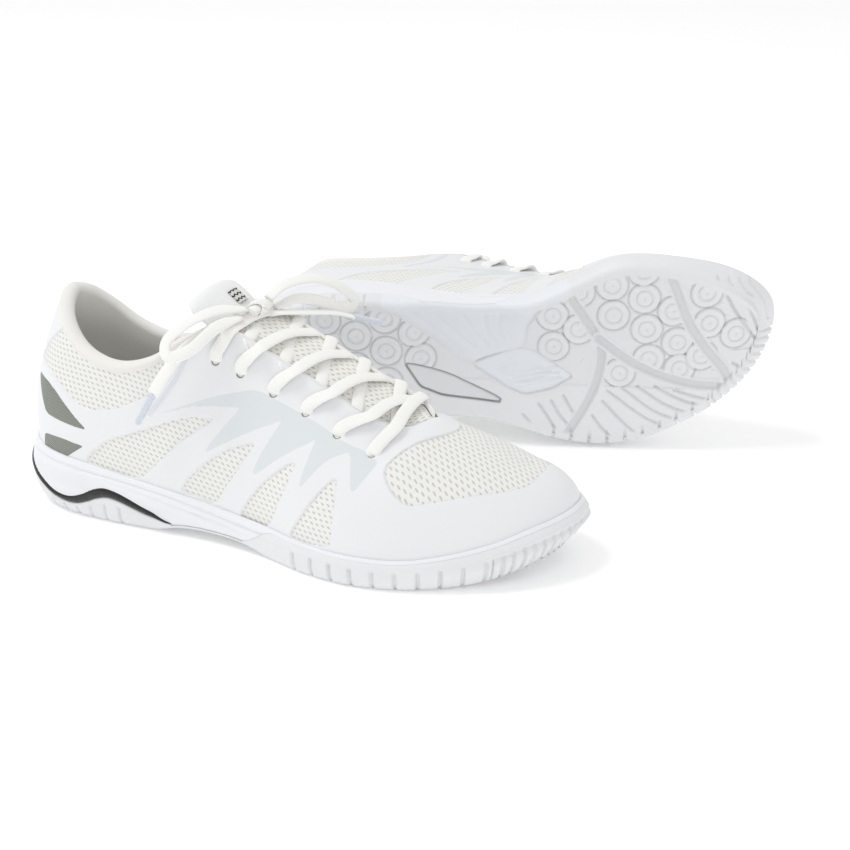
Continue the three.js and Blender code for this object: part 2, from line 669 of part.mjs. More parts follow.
const BOW_LEFT = {
  knot: BOW_RIGHT.knot,
  loopOuter: [
    [126, -9.5, 112], [122, -19, 117], [121, -25.5, 124], [124, -26.8, 132],
    [129.5, -26.8, 133], [132, -25.5, 124], [130.5, -20, 116.5], [129.5, -11.5, 112.5],
  ],
  loopInner: [
    [129, 7, 112.5], [129.5, 12.5, 117], [128.5, 13.5, 124], [125.5, 7, 130], [122, -3, 133],
    [121.5, -10, 131], [123.5, -12, 126], [128, -6, 121], [133, 3, 116], [134.5, 9, 111],
    [131, 9.5, 107.5],
  ],
  tailOuter: [[134.5, -10.5, 113], [139, -17, 118], [143, -21, 125], [146, -22, 133]],
  tailInner: [[133.5, 7.5, 105.9], [140, 10, 108.5], [147, 7, 110.5], [152.5, -1, 110.5], [157, -11, 107.5], [160, -20, 103]],
};
function bowCord(points, steps, width) {
  const walk = curved(points, steps);
  return sweep(walk, width, LACE_THICK, 8, walk.map(() => new THREE.Vector3(0.3, 0.35, 0.88).normalize()));
}
function aglet(points) {
  const end = scaled(points[points.length - 1]);
  const ahead = end.clone().sub(scaled(points[points.length - 2])).normalize();
  const walk = [0.8, 0.8 + AGLET_LENGTH / 2, 0.8 + AGLET_LENGTH].map((d) => end.clone().addScaledVector(ahead, d));
  return sweep(walk, AGLET_DIAMETER, AGLET_DIAMETER, 8, walk.map(() => new THREE.Vector3(0.3, 0.35, 0.88)));
}

const PIECES = [];
function addPiece(name, make, colour, roughness, metalness = 0) {
  PIECES.push({ name, make, colour, roughness, metalness });
}
const WHITE = 0xeceef1;
const FOAM = 0xeef0f6;
const RUBBER = 0xe6e6e6;
const MESH = 0xf3f2ee;
const CORD = 0xf5f4f1;
addPiece('outsole_forefoot', outsoleForefoot, RUBBER, 0.75);
addPiece('outsole_heel', outsoleHeel, RUBBER, 0.75);
addPiece('midsole', midsole, FOAM, 0.6);
addPiece('shank', shank, 0xdde1e6, 0.4);
addPiece('heel_wave', heelWave, 0x26241f, 0.35);
addPiece('strobel_board', () => board(UPPER_THICK + GAP, GAP, BOARD_THICK), 0xd8d4c8, 0.9);
addPiece('insole', () => board(UPPER_THICK + 2 * GAP, BOARD_THICK + 2 * GAP, INSOLE_THICK), 0xe8e7e1, 0.9);
addPiece('upper_vamp', upperVamp, MESH, 0.85);
addPiece('upper_outer', () => upperQuarter(-1), MESH, 0.85);
addPiece('upper_inner', () => upperQuarter(1), MESH, 0.85);
addPiece('film_toe', filmToe, WHITE, 0.4);
addPiece('film_outer', () => filmQuarter(-1, OUTER_WINDOWS), WHITE, 0.4);
addPiece('film_inner', () => filmQuarter(1, INNER_WINDOWS), WHITE, 0.4);
addPiece('heel_counter', heelCounter, 0xcfcac0, 0.8);
addPiece('collar_lining', collarLining, 0xe8e7e1, 0.95);
addPiece('heel_patch_high', () => patch(0.87, 0.985, 0.36, 0.56), 0x85877f, 0.5);
addPiece('heel_patch_low', () => patch(0.87, 0.965, 0.2, 0.3), 0x85877f, 0.5);
addPiece('tongue', tongue, MESH, 0.9);
addPiece('tongue_tab', tongueTab, WHITE, 0.6);
addPiece('tongue_label', tongueLabel, 0x3a3a3a, 0.5);
addPiece('lace_a', () => laceStrand(-1), CORD, 0.9);
addPiece('lace_b', () => laceStrand(1), CORD, 0.9);
addPiece('lace_bar', laceBar, CORD, 0.9);
addPiece('bow_knot', (bow) => bowCord(bow.knot, 6, 7.6), CORD, 0.9);
addPiece('bow_loop_outer', (bow) => bowCord(bow.loopOuter, 16, 4.2), CORD, 0.9);
addPiece('bow_loop_inner', (bow) => bowCord(bow.loopInner, 18, 4.2), CORD, 0.9);
addPiece('bow_tail_outer', (bow) => bowCord(bow.tailOuter, 12, 4.2), CORD, 0.9);
addPiece('bow_tail_inner', (bow) => bowCord(bow.tailInner, 10, 4.2), CORD, 0.9);
addPiece('aglet_outer', (bow) => aglet(bow.tailOuter), 0xdfe6f2, 0.3);
addPiece('aglet_inner', (bow) => aglet(bow.tailInner), 0xdfe6f2, 0.3);

function shoe(prefix, bow, place) {
  return PIECES.map((piece) => {
    const geometry = piece.make(bow).clone();
    place(geometry);
    geometry.computeVertexNormals();
    const material = new THREE.MeshStandardMaterial({
      color: piece.colour, roughness: piece.roughness, metalness: piece.metalness,
    });
    const mesh = new THREE.Mesh(geometry, material);
    mesh.name = prefix + piece.name;
    return mesh;
  });
}
function mirrorY(geometry) {
  geometry.scale(1, -1, 1);
  const index = Array.from(geometry.index.array);
  for (let i = 0; i < index.length; i += 3) [index[i + 1], index[i + 2]] = [index[i + 2], index[i + 1]];
  geometry.setIndex(index);
}
const turn = new THREE.Matrix4().makeRotationFromEuler(
  new THREE.Euler(...LEFT_TURN.map((d) => THREE.MathUtils.degToRad(d)), 'ZYX'),
);

const pair = new THREE.Group();
pair.name = 'cheer_shoes';
for (const mesh of shoe('right_', BOW_RIGHT, () => {})) pair.add(mesh);
for (const mesh of shoe('left_', BOW_LEFT, (g) => {
  mirrorY(g);
  g.applyMatrix4(turn);
  g.translate(...LEFT_MOVE);
})) pair.add(mesh);


// the middle of the pair's footprint, on the floor and without the laces, is the origin
const CORDS = /lace|bow|aglet/;
const footprint = new THREE.Box3();
for (const mesh of pair.children) if (!CORDS.test(mesh.name)) footprint.expandByObject(mesh);
const middle = footprint.getCenter(new THREE.Vector3());
for (const mesh of pair.children) mesh.geometry.translate(-middle.x, -middle.y, -footprint.min.z);

export default pair;
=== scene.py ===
"""Looks of a pair of laced court shoes for cheerleading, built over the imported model.

Shapes are worked out in the shoe's own frame, in millimetres: x from heel to toe, y towards the
inner side, z up. `place` turns them into metres in the row frame, for either shoe.
"""
import math

import bpy
import numpy as np
from mathutils import Matrix, Vector


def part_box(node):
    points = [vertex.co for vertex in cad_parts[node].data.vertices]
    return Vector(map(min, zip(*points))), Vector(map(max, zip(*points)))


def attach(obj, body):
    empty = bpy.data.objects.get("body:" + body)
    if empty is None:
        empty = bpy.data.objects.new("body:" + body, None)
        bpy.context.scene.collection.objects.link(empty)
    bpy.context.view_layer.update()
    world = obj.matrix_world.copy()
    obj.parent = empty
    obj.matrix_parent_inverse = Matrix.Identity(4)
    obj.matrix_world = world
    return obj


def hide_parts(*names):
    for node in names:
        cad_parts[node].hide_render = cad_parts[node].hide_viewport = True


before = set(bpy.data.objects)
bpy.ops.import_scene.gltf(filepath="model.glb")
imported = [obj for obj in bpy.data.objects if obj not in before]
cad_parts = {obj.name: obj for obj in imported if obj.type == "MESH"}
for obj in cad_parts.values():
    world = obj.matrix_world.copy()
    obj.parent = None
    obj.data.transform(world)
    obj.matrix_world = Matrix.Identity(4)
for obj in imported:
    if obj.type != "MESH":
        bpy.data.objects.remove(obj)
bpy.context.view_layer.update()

# ---- sizes shared with the part, mm -----------------------------------------------------------
GAP = 0.4
BULGE = 2.2
RUBBER_WRAP = 9.0
LACE_WIDTH = 6.4
AGLET_DIAMETER = 3.2
LEFT_TURN = (-84.0, -1.73, 19.43)
LEFT_MOVE = np.array([70.3, 88.3, 47.7])

# ---- sizes of the looks alone, mm --------------------------------------------------------------
LACE_THICK = 1.9        # a little thinner than the part's
RIM_OFF = GAP + 1.7     # the foam's rim outside the upper
EYELET_RADIUS = 2.1
PIPING_HALF = 1.3
LINING_THICK = 1.5
COLLAR_PUFF = 5.2
UNDER_ROUND = 2.2       # rounding where the sole's wall meets its underside
NOTCH_DEPTH = 1.6

TOE_TIP = (290, 13)
HEEL_BACK = (0, 0)
OUTER_SIDE = [
    (286, -2), (276, -17), (262, -29), (244, -39), (222, -48), (198, -52), (172, -49),
    (146, -41.5), (118, -38), (88, -38), (58, -37.5), (34, -34.5), (16, -27), (5, -15),
]
INNER_SIDE = [
    (288, 27), (278, 39), (262, 48), (242, 53.5), (220, 56), (200, 54), (182, 45.5),
    (160, 35.5), (132, 32), (100, 34), (66, 36.5), (38, 34.5), (18, 27), (5, 14),
]
BITE_LINE = [
    (0, 32), (20, 31.2), (45, 29.6), (75, 26), (102, 22.2), (135, 17.8), (170, 15.2),
    (200, 14.5), (225, 15), (245, 18.2), (262, 22.5), (276, 27), (290, 30),
]
FOOTBED = [(0, 24), (60, 22), (100, 18), (150, 12.5), (190, 10.5), (230, 11.5), (262, 16.5), (290, 24.5)]
GROUND = [
    (0, 6), (10, 2.5), (24, 0.4), (40, 0), (90, 0), (140, 0), (190, 0), (226, 0),
    (246, 1), (262, 3.5), (276, 7.5), (290, 13),
]
ARCH_LIFT = [
    (0, 0), (60, 0), (78, 0), (86, 0.5), (98, 3.4), (120, 4.2), (138, 3.2), (150, 0.5),
    (158, 0), (200, 0), (290, 0),
]
# share of the side, x, half width of the opening, z, then lift, reach and drop of the section
TOP_EDGE = [
    (0.00, 262, 0.0, 46.5, 0.55, 0.45, 0.00), (0.06, 260, 0.0, 47.2, 0.55, 0.45, 0.00),
    (0.12, 254, 0.0, 49.8, 0.55, 0.45, 0.00), (0.20, 241, 0.0, 55.5, 0.55, 0.47, 0.00),
    (0.28, 227, 0.0, 61.5, 0.55, 0.48, 0.02), (0.33, 218, 0.0, 65.5, 0.55, 0.48, 0.04),
    (0.37, 208, 12.5, 66.5, 0.52, 0.48, 0.14), (0.42, 193, 16.0, 72.5, 0.50, 0.46, 0.20),
    (0.49, 168, 16.5, 85.0, 0.46, 0.42, 0.26), (0.56, 142, 18.0, 97.5, 0.44, 0.42, 0.34),
    (0.61, 124, 20.0, 105.5, 0.42, 0.45, 0.40), (0.64, 114, 22.5, 105.5, 0.42, 0.45, 0.42),
    (0.68, 100, 26.0, 96.5, 0.42, 0.45, 0.40), (0.73, 84, 29.0, 84.5, 0.42, 0.45, 0.36),
    (0.78, 66, 30.0, 79.0, 0.42, 0.45, 0.34), (0.84, 46, 28.0, 83.5, 0.42, 0.50, 0.34),
    (0.90, 31, 21.5, 95.5, 0.44, 0.60, 0.34), (0.95, 23.5, 12.0, 104.0, 0.45, 0.70, 0.34),
    (1.00, 20, 0.0, 107.5, 0.45, 0.75, 0.34),
]
MIDLINE = [(0, 0), (60, 0), (110, -1), (150, -1), (200, 1.5), (230, 9), (263, 16)]
SIDE_TILT = [(0, 0), (100, 0), (130, 0.08), (170, 0.15), (205, 0.15), (225, 0.1), (250, 0), (290, 0)]
# share of the side, then how far the sole stands outside its plan
OUT_GROUND = [
    (0, -8.5), (0.1, -7), (0.2, -4), (0.3, -1.5), (0.5, -1.5), (0.6, -3), (0.75, -2), (0.9, -1), (1, -1),
]
OUT_MIDDLE = [
    (0, 0), (0.1, 0.5), (0.2, 1), (0.3, 1.2), (0.5, 0.5), (0.6, -0.5), (0.75, 0.5), (0.9, 3), (1, 5),
]
INSET = [(0, 6), (0.1, 5), (0.2, 3.6), (0.3, 2.8), (0.5, 2.6), (0.75, 2.4), (0.9, 1.6), (1, 1)]

# ---- free lace, as listed points -----------------------------------------------------------------
# They follow the part's, but the tails start inside the knot and the left outer one is 2 mm longer.
BOW_RIGHT = {
    "loop_outer": [
        (126, -9.5, 111.5), (118, -21, 113), (108, -34, 108.5), (101, -41, 100.5),
        (103, -43.5, 95), (112, -40.5, 97.5), (121, -29, 107), (125.5, -14.5, 109),
    ],
    "loop_inner": [
        (129, 7, 112.5), (133, 16, 117.5), (142, 29, 118.5), (151, 41, 112), (155.5, 47, 104.5),
        (153.5, 44, 100.5), (146, 34, 105.5), (137, 20, 110), (131, 9.5, 107.5),
    ],
    "tail_outer": [
        (124.5, -9, 107), (119, -20, 106.5), (114, -30.5, 103), (107, -34, 97), (101, -36.5, 89),
        (96, -39, 81), (92.5, -41, 74),
    ],
    "tail_inner": [(130.5, 3, 106), (133.5, 7.5, 105.9), (143, 21, 103.5), (152, 33, 101), (158, 40, 98)],
}
BOW_LEFT = {
    "loop_outer": [
        (126, -9.5, 112), (122, -19, 117), (121, -25.5, 124), (124, -26.8, 132),
        (129.5, -26.8, 133), (132, -25.5, 124), (130.5, -20, 116.5), (129.5, -11.5, 112.5),
    ],
    "loop_inner": [
        (129, 7, 112.5), (129.5, 12.5, 117), (128.5, 13.5, 124), (125.5, 7, 130), (122, -3, 133),
        (121.5, -10, 131), (123.5, -12, 126), (128, -6, 121), (133, 3, 116), (134.5, 9, 111),
        (131, 9.5, 107.5),
    ],
    "tail_outer": [
        (127.5, -3, 109.5), (130.5, -7, 110.8), (134.5, -10.5, 113), (139, -17, 118), (143, -21, 125),
        (146, -22, 133), (146.6, -22, 135.2),
    ],
    "tail_inner": [
        (130.5, 3, 106), (133.5, 7.5, 105.9), (140, 10, 108.5), (147, 7, 110.5), (152.5, -1, 110.5),
        (157, -11, 107.5), (160, -20, 103),
    ],
}


# ==== the shoe's surfaces =======================================================================
def smooth(table, x, column=1):
    """A smooth curve through a table, clamped at both ends."""
    rows = np.asarray(table, float)
    keys, values = rows[:, 0], rows[:, column]
    slope = np.gradient(values, keys)
    x = np.asarray(x, float)
    i = np.clip(np.searchsorted(keys, x, side="left") - 1, 0, len(keys) - 2)
    h = keys[i + 1] - keys[i]
    t = np.clip((x - keys[i]) / h, 0, 1)
    start = (2 * t**3 - 3 * t**2 + 1) * values[i] + (t**3 - 2 * t**2 + t) * h * slope[i]
    return start + (-2 * t**3 + 3 * t**2) * values[i + 1] + (t**3 - t**2) * h * slope[i + 1]


def step(x, low, high):
    """0 below low, 1 above high, smooth between."""
    t = np.clip((np.asarray(x, float) - low) / (high - low), 0, 1)
    return t * t * (3 - 2 * t)


def curve_through(points, count, closed=False):
    """Centripetal Catmull-Rom curve through points, count samples to a span."""
    p = np.asarray(points, float)
    if closed:
        p = np.concatenate([p[-1:], p, p[:2]])
    else:
        p = np.concatenate([2 * p[:1] - p[1:2], p, 2 * p[-1:] - p[-2:-1]])
    out = []
    for p0, p1, p2, p3 in zip(p, p[1:], p[2:], p[3:]):
        gaps = [max(np.linalg.norm(b - a), 1e-6) ** 0.5 for a, b in ((p0, p1), (p1, p2), (p2, p3))]
        t0, t1, t2, t3 = np.cumsum([0, *gaps])
        t = np.linspace(t1, t2, count, endpoint=False)[:, None]
        a1 = (t1 - t) / (t1 - t0) * p0 + (t - t0) / (t1 - t0) * p1
        a2 = (t2 - t) / (t2 - t1) * p1 + (t - t1) / (t2 - t1) * p2
        a3 = (t3 - t) / (t3 - t2) * p2 + (t - t2) / (t3 - t2) * p3
        b1 = (t2 - t) / (t2 - t0) * a1 + (t - t0) / (t2 - t0) * a2
        b2 = (t3 - t) / (t3 - t1) * a2 + (t - t1) / (t3 - t1) * a3
        out.append((t2 - t) / (t2 - t1) * b1 + (t - t1) / (t2 - t1) * b2)
    if not closed:
        out.append(p[-2:-1])
    return np.concatenate(out)


def walk(line, share):
    """Points at shares of a line's length."""
    lengths = np.r_[0, np.cumsum(np.linalg.norm(np.diff(line, axis=0), axis=1))]
    at = np.asarray(share, float) * lengths[-1]
    return np.stack([np.interp(at, lengths, line[:, k]) for k in range(line.shape[1])], -1)


RING = curve_through([TOE_TIP, *OUTER_SIDE, HEEL_BACK, *INNER_SIDE[::-1]], 48, closed=True)
HALF = 48 * (len(OUTER_SIDE) + 1)
OUTER_LINE = RING[: HALF + 1]
INNER_LINE = np.concatenate([RING[HALF:], RING[:1]])[::-1]
SIDE_LENGTH = np.linalg.norm(np.diff(OUTER_LINE, axis=0), axis=1).sum()


def stations():
    rows = np.array(TOP_EDGE, float)
    before = rows[1:3][::-1].copy()
    after = rows[-3:-1][::-1].copy()
    before[:, 0] *= -1
    after[:, 0] = 2 - after[:, 0]
    before[:, 2] *= -1
    after[:, 2] *= -1
    return np.concatenate([before, rows, after])


STATIONS = stations()


def wrap(turn):
    """The turn runs from the heel (-1) along the outer side to the toe (0) and on to the heel (1)."""
    turn = np.asarray(turn, float)
    return np.where(turn > 1, turn - 2, np.where(turn < -1, turn + 2, turn))


def plan(turn):
    t = wrap(turn)
    share = np.abs(t)
    return np.where((t < 0)[..., None], walk(OUTER_LINE, share), walk(INNER_LINE, share))


def plan_out(turn):
    d = plan(np.asarray(turn) + 0.004) - plan(np.asarray(turn) - 0.004)
    d /= np.linalg.norm(d, axis=-1, keepdims=True)
    return np.stack([d[..., 1], -d[..., 0]], -1)


def outward(turn):
    """plan_out as a level direction in space."""
    return np.concatenate([plan_out(turn), np.zeros(np.shape(turn) + (1,))], -1)


def ground(x):
    return np.maximum(0, smooth(GROUND, x))


def arch_lift(x):
    return np.maximum(0, smooth(ARCH_LIFT, x))


def top_edge(turn):
    t = wrap(turn)
    share = np.abs(t)
    side = np.where(t < 0, -1.0, 1.0)
    x = smooth(STATIONS, share, 1)
    half = np.where(share < 0.33, 0.0, np.abs(smooth(STATIONS, share, 2)))
    half = half * np.where(share > 1, -1, 1)
    y = smooth(MIDLINE, x) + side * half
    z = smooth(STATIONS, share, 3) + side * half * smooth(SIDE_TILT, x)
    return np.stack([x, y, z], -1), half


def skin(turn, level):
    """The upper's outer surface: level 0 at the footbed, 1 at the top edge."""
    t, v = np.broadcast_arrays(np.asarray(turn, float), np.asarray(level, float))
    share = np.abs(wrap(t))
    base, out = plan(t), plan_out(t)
    p3, _ = top_edge(t)
    p0 = base - out * smooth(INSET, share)[..., None]
    p0 = np.concatenate([p0, (smooth(FOOTBED, base[..., 0]) + GAP)[..., None]], -1)
    rise = p3[..., 2] - p0[..., 2]
    p1 = p0.copy()
    p1[..., :2] += out * BULGE
    p1[..., 2] += smooth(STATIONS, share, 4) * rise
    p2 = p3.copy()
    p2[..., :2] += (p0[..., :2] - p3[..., :2]) * smooth(STATIONS, share, 5)[..., None]
    p2[..., 2] -= smooth(STATIONS, share, 6) * rise
    v = v[..., None]
    w = 1 - v
    return p0 * w**3 + 3 * p1 * v * w * w + 3 * p2 * v * v * w + p3 * v**3


def unit(vectors):
    return vectors / np.maximum(np.linalg.norm(vectors, axis=-1, keepdims=True), 1e-12)


def skin_out(turn, level):
    v = np.minimum(level, 0.96)
    along = skin(np.asarray(turn) + 0.006, v) - skin(np.asarray(turn) - 0.006, v)
    up = skin(turn, v + 0.02) - skin(turn, np.maximum(v - 0.02, 0))
    return unit(np.cross(along, up))


def layer(turn, level, off):
    """The outer surface moved outwards by off; the two sides agree along the ridge of the vamp."""
    t, v = np.broadcast_arrays(np.asarray(turn, float), np.asarray(level, float))
    n = skin_out(t, v)
    _, half = top_edge(t)
    near = (step(v, 0.9, 1.0) * (half < 0.6))[..., None]
    n = unit(n * (1 - near / 2) + skin_out(-t, v) * near / 2)
    return skin(t, v) + n * np.asarray(off, float)[..., None]


def bite_level(turn):
    low = np.zeros(np.shape(turn))
    high = np.full(np.shape(turn), 0.9)
    target = smooth(BITE_LINE, plan(turn)[..., 0])
    for _ in range(26):
        middle = (low + high) / 2
        under = skin(turn, middle)[..., 2] < target
        low = np.where(under, middle, low)
        high = np.where(under, high, middle)
    return low


def on_plan(turn, off, z):
    p = plan(turn) + plan_out(turn) * np.asarray(off)[..., None]
    return np.concatenate([p, np.broadcast_to(z, p.shape[:-1])[..., None]], -1)


def ground_off(turn):
    return smooth(OUT_GROUND, np.abs(wrap(turn)))


def middle_off(turn):
    return smooth(OUT_MIDDLE, np.abs(wrap(turn)))


def side_wall(turn, z):
    """The sole's side at height z, from the ground edge up to the bite line."""
    x = plan(turn)[..., 0]
    floor = ground(x)
    wrap_top = floor + arch_lift(x) + RUBBER_WRAP
    low = on_plan(turn, ground_off(turn), floor)
    belt = on_plan(turn, middle_off(turn), wrap_top + 1)
    rim = layer(turn, bite_level(turn), RIM_OFF)
    below = np.clip((z - floor) / (wrap_top + 1 - floor), 0, 1)[..., None]
    above = np.clip((z - wrap_top - 1) / np.maximum(rim[..., 2] - wrap_top - 1, 1), 0, 1)[..., None]
    out = outward(turn)
    p = np.where(above > 0, belt + (rim - belt) * above, low + (belt - low) * below)
    p = p + out * (0.8 * np.sin(np.pi * below) + 0.8 * np.sin(np.pi * above))
    p[..., 2] = z
    return p


# ==== placing and meshing =======================================================================
def row_origin():
    """Where the right shoe's own origin lies in the row frame, in mm."""
    heel_low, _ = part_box("right_outsole_heel")
    label_low, label_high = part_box("right_tongue_label")
    return np.array([heel_low[0] * 1000 + 5.0, (label_low[1] + label_high[1]) * 500 + 1.0, 0.0])


ORIGIN = row_origin()
TURN = np.array(
    Matrix.Rotation(math.radians(LEFT_TURN[2]), 3, "Z")
    @ Matrix.Rotation(math.radians(LEFT_TURN[1]), 3, "Y")
    @ Matrix.Rotation(math.radians(LEFT_TURN[0]), 3, "X")
)


def place(points, side):
    q = np.array(points, float)
    if side == "left":
        q[..., 1] *= -1
        q = q @ TURN.T + LEFT_MOVE
    return (q + ORIGIN) / 1000


def grid_faces(rows, columns):
    i, j = np.meshgrid(np.arange(rows - 1), np.arange(columns - 1), indexing="ij")
    corner = i * columns + j
    return np.stack([corner, corner + columns, corner + columns + 1, corner + 1], -1).reshape(-1, 4)


def build(name, side, points, faces, paint, values=None, body="shoe", replaces=()):
    """A mesh piece of one shoe from points in mm; points in the same place are joined."""
    flat = np.asarray(points, float).reshape(-1, 3)
    _, first, joined = np.unique(np.round(flat * 2000).astype(np.int64), axis=0,
                                 return_index=True, return_inverse=True)
    faces = joined.reshape(-1)[faces]
    if side == "left":
        faces = faces[:, ::-1]
    used, faces = np.unique(faces, return_inverse=True)
    faces = faces.reshape(-1, 4)
    first = first[used]
    rows = []
    for face in faces[(faces == np.roll(faces, 1, axis=1)).any(1)]:
        corners = [v for k, v in enumerate(face) if v != face[k - 1]]
        if len(set(corners)) == 3 and len(corners) == 3:
            rows.append(corners)
    quads = faces[~(faces == np.roll(faces, 1, axis=1)).any(1)]
    loops = np.concatenate([quads.reshape(-1), np.array(rows, int).reshape(-1)])
    sizes = np.r_[np.full(len(quads), 4), np.full(len(rows), 3)]
    mesh = bpy.data.meshes.new(f"{name}_{side}")
    mesh.vertices.add(len(first))
    mesh.vertices.foreach_set("co", place(flat[first], side).astype(np.float32).reshape(-1))
    mesh.loops.add(len(loops))
    mesh.loops.foreach_set("vertex_index", loops.astype(np.int32))
    mesh.polygons.add(len(sizes))
    mesh.polygons.foreach_set("loop_start", (np.cumsum(sizes) - sizes).astype(np.int32))
    mesh.update(calc_edges=True)
    mesh.validate()
    mesh.shade_smooth()
    for key, value in (values or {}).items():
        value = np.asarray(value, float)
        if value.size == len(flat):
            attribute = mesh.attributes.new(key, "FLOAT", "POINT")
            attribute.data.foreach_set("value", value.reshape(-1)[first].astype(np.float32))
        else:
            attribute = mesh.attributes.new(key, "FLOAT_VECTOR", "POINT")
            attribute.data.foreach_set("vector", value.reshape(-1, 3)[first].astype(np.float32).reshape(-1))
    mesh.materials.append(paint)
    piece = bpy.data.objects.new(f"{name}_{side}", mesh)
    bpy.context.scene.collection.objects.link(piece)
    if body:
        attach(piece, f"{side}_{body}")
    if replaces:
        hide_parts(*[f"{side}_{node}" for node in replaces])
    return piece


def distance_to(points, line, reach=8.0, closed=True):
    """Distance from points to a line, never more than reach."""
    line = np.asarray(line, float)
    near = np.all((points > line.min(0) - reach) & (points < line.max(0) + reach), axis=1)
    best = np.full(len(points), reach * reach)
    inside = points[near]
    close = best[near]
    ends = np.roll(line, -1, 0) if closed else line[1:]
    for a, b in zip(line, ends):
        ab = b - a
        share = np.clip(((inside - a) @ ab) / max(ab @ ab, 1e-9), 0, 1)
        close = np.minimum(close, ((inside - a - share[:, None] * ab) ** 2).sum(1))
    best[near] = close
    return np.sqrt(best)


def inside_of(points, line):
    """Whether flat points lie inside a closed flat line."""
    found = np.zeros(len(points), bool)
    x, y = points[:, 0], points[:, 1]
    for (x0, y0), (x1, y1) in zip(line, np.roll(line, -1, 0)):
        if y0 == y1:
            continue
        crosses = (y0 > y) != (y1 > y)
        found ^= crosses & (x < (x1 - x0) * (y - y0) / (y1 - y0) + x0)
    return found


def signed(points, line, flat, flat_line):
    """Distance to a closed line, above 0 where the flat points lie inside the flat line."""
    distance = distance_to(points, line)
    return np.where(inside_of(flat, flat_line), distance, -distance)


def softened(line, rounds=2, share=0.22, closed=True):
    """An outline with its corners cut smooth."""
    p = np.asarray(line, float)
    for _ in range(rounds):
        nxt = np.roll(p, -1, 0)
        cut = np.stack([p + (nxt - p) * share, nxt - (nxt - p) * share], 1)
        if closed:
            p = cut.reshape(-1, p.shape[1])
        else:
            p = np.concatenate([p[:1], cut[:-1].reshape(-1, p.shape[1]), p[-1:]])
    return p


# ==== materials =================================================================================
def colour(code):
    """A screen colour such as 0xeceef1 as linear RGBA."""
    parts = [(code >> shift & 255) / 255 for shift in (16, 8, 0)]
    return [*[c / 12.92 if c <= 0.04045 else ((c + 0.055) / 1.055) ** 2.4 for c in parts], 1.0]


class Paint:
    """A procedural material under construction."""

    def __init__(self, name, base, roughness, **sockets):
        self.material = bpy.data.materials.new(name)
        self.material.use_nodes = True
        self.tree = self.material.node_tree
        self.shader = self.tree.nodes["Principled BSDF"]
        self.shader.inputs["Base Color"].default_value = colour(base)
        self.shader.inputs["Roughness"].default_value = roughness
        for key, value in sockets.items():
            self.shader.inputs[key.replace("_", " ")].default_value = value

    def add(self, kind, **settings):
        node = self.tree.nodes.new(kind)
        for key, value in settings.items():
            setattr(node, key, value)
        return node

    def feed(self, value, socket):
        if isinstance(value, (int, float)):
            socket.default_value = value
        else:
            self.tree.links.new(value, socket)

    def math(self, operation, *values):
        node = self.add("ShaderNodeMath", operation=operation)
        for value, socket in zip(values, node.inputs):
            self.feed(value, socket)
        return node.outputs[0]

    def value(self, name):
        return self.add("ShaderNodeAttribute", attribute_name=name).outputs["Fac"]

    def vector(self, name):
        return self.add("ShaderNodeAttribute", attribute_name=name).outputs["Vector"]

    def here(self):
        """The point on the piece, in metres, which moves with it."""
        return self.add("ShaderNodeTexCoord").outputs["Object"]

    def parts(self, vector):
        node = self.add("ShaderNodeSeparateXYZ")
        self.feed(vector, node.inputs[0])
        return node.outputs

    def between(self, value, low, high, to_low=0.0, to_high=1.0):
        node = self.add("ShaderNodeMapRange", interpolation_type="SMOOTHSTEP")
        self.feed(value, node.inputs["Value"])
        for key, number in (("From Min", low), ("From Max", high), ("To Min", to_low), ("To Max", to_high)):
            node.inputs[key].default_value = number
        return node.outputs["Result"]

    def noise(self, vector, scale, detail=2.0):
        node = self.add("ShaderNodeTexNoise")
        self.feed(vector, node.inputs["Vector"])
        node.inputs["Scale"].default_value = scale
        node.inputs["Detail"].default_value = detail
        return node.outputs["Fac"]

    def mix(self, factor, first, second):
        node = self.add("ShaderNodeMix", data_type="RGBA")
        self.feed(factor, node.inputs["Factor"])
        for value, socket in ((first, node.inputs[6]), (second, node.inputs[7])):
            if isinstance(value, int):
                socket.default_value = colour(value)
            else:
                self.feed(value, socket)
        return node.outputs[2]

    def tint(self, value):
        self.feed(value, self.shader.inputs["Base Color"])
        return self

    def rough(self, value):
        self.feed(value, self.shader.inputs["Roughness"])
        return self

    def bump(self, height, millimetres, strength=1.0):
        node = self.add("ShaderNodeBump")
        node.inputs["Distance"].default_value = millimetres / 1000
        node.inputs["Strength"].default_value = strength
        self.feed(height, node.inputs["Height"])
        self.feed(node.outputs[0], self.shader.inputs["Normal"])
        return self

    def cells(self, lay, pitch_u, pitch_v, stagger=0.5):
        """Staggered cells: the place inside each cell, in mm from its middle."""
        u, v, _ = self.parts(lay)
        row = self.math("DIVIDE", v, pitch_v)
        odd = self.math("MODULO", self.math("FLOOR", row), 2.0)
        shift = self.math("MULTIPLY", odd, stagger)
        column = self.math("ADD", self.math("DIVIDE", u, pitch_u), shift)
        a = self.math("MULTIPLY", self.math("SUBTRACT", self.math("FRACT", column), 0.5), pitch_u)
        b = self.math("MULTIPLY", self.math("SUBTRACT", self.math("FRACT", row), 0.5), pitch_v)
        return a, b

    def oval(self, a, b, long, short, degrees=0.0):
        """1 inside a slanted oval, 0 outside."""
        c, s = math.cos(math.radians(degrees)), math.sin(math.radians(degrees))
        along = self.math("ADD", self.math("MULTIPLY", a, c / long), self.math("MULTIPLY", b, s / long))
        down, aside = self.math("MULTIPLY", b, c / short), self.math("MULTIPLY", a, s / short)
        over = self.math("SUBTRACT", down, aside)
        size = self.math("ADD", self.math("POWER", along, 2.0), self.math("POWER", over, 2.0))
        return self.between(size, 0.55, 1.45, 1.0, 0.0)

    def waves(self, value, pitch):
        return self.math("SINE", self.math("MULTIPLY", value, 2 * math.pi / pitch))


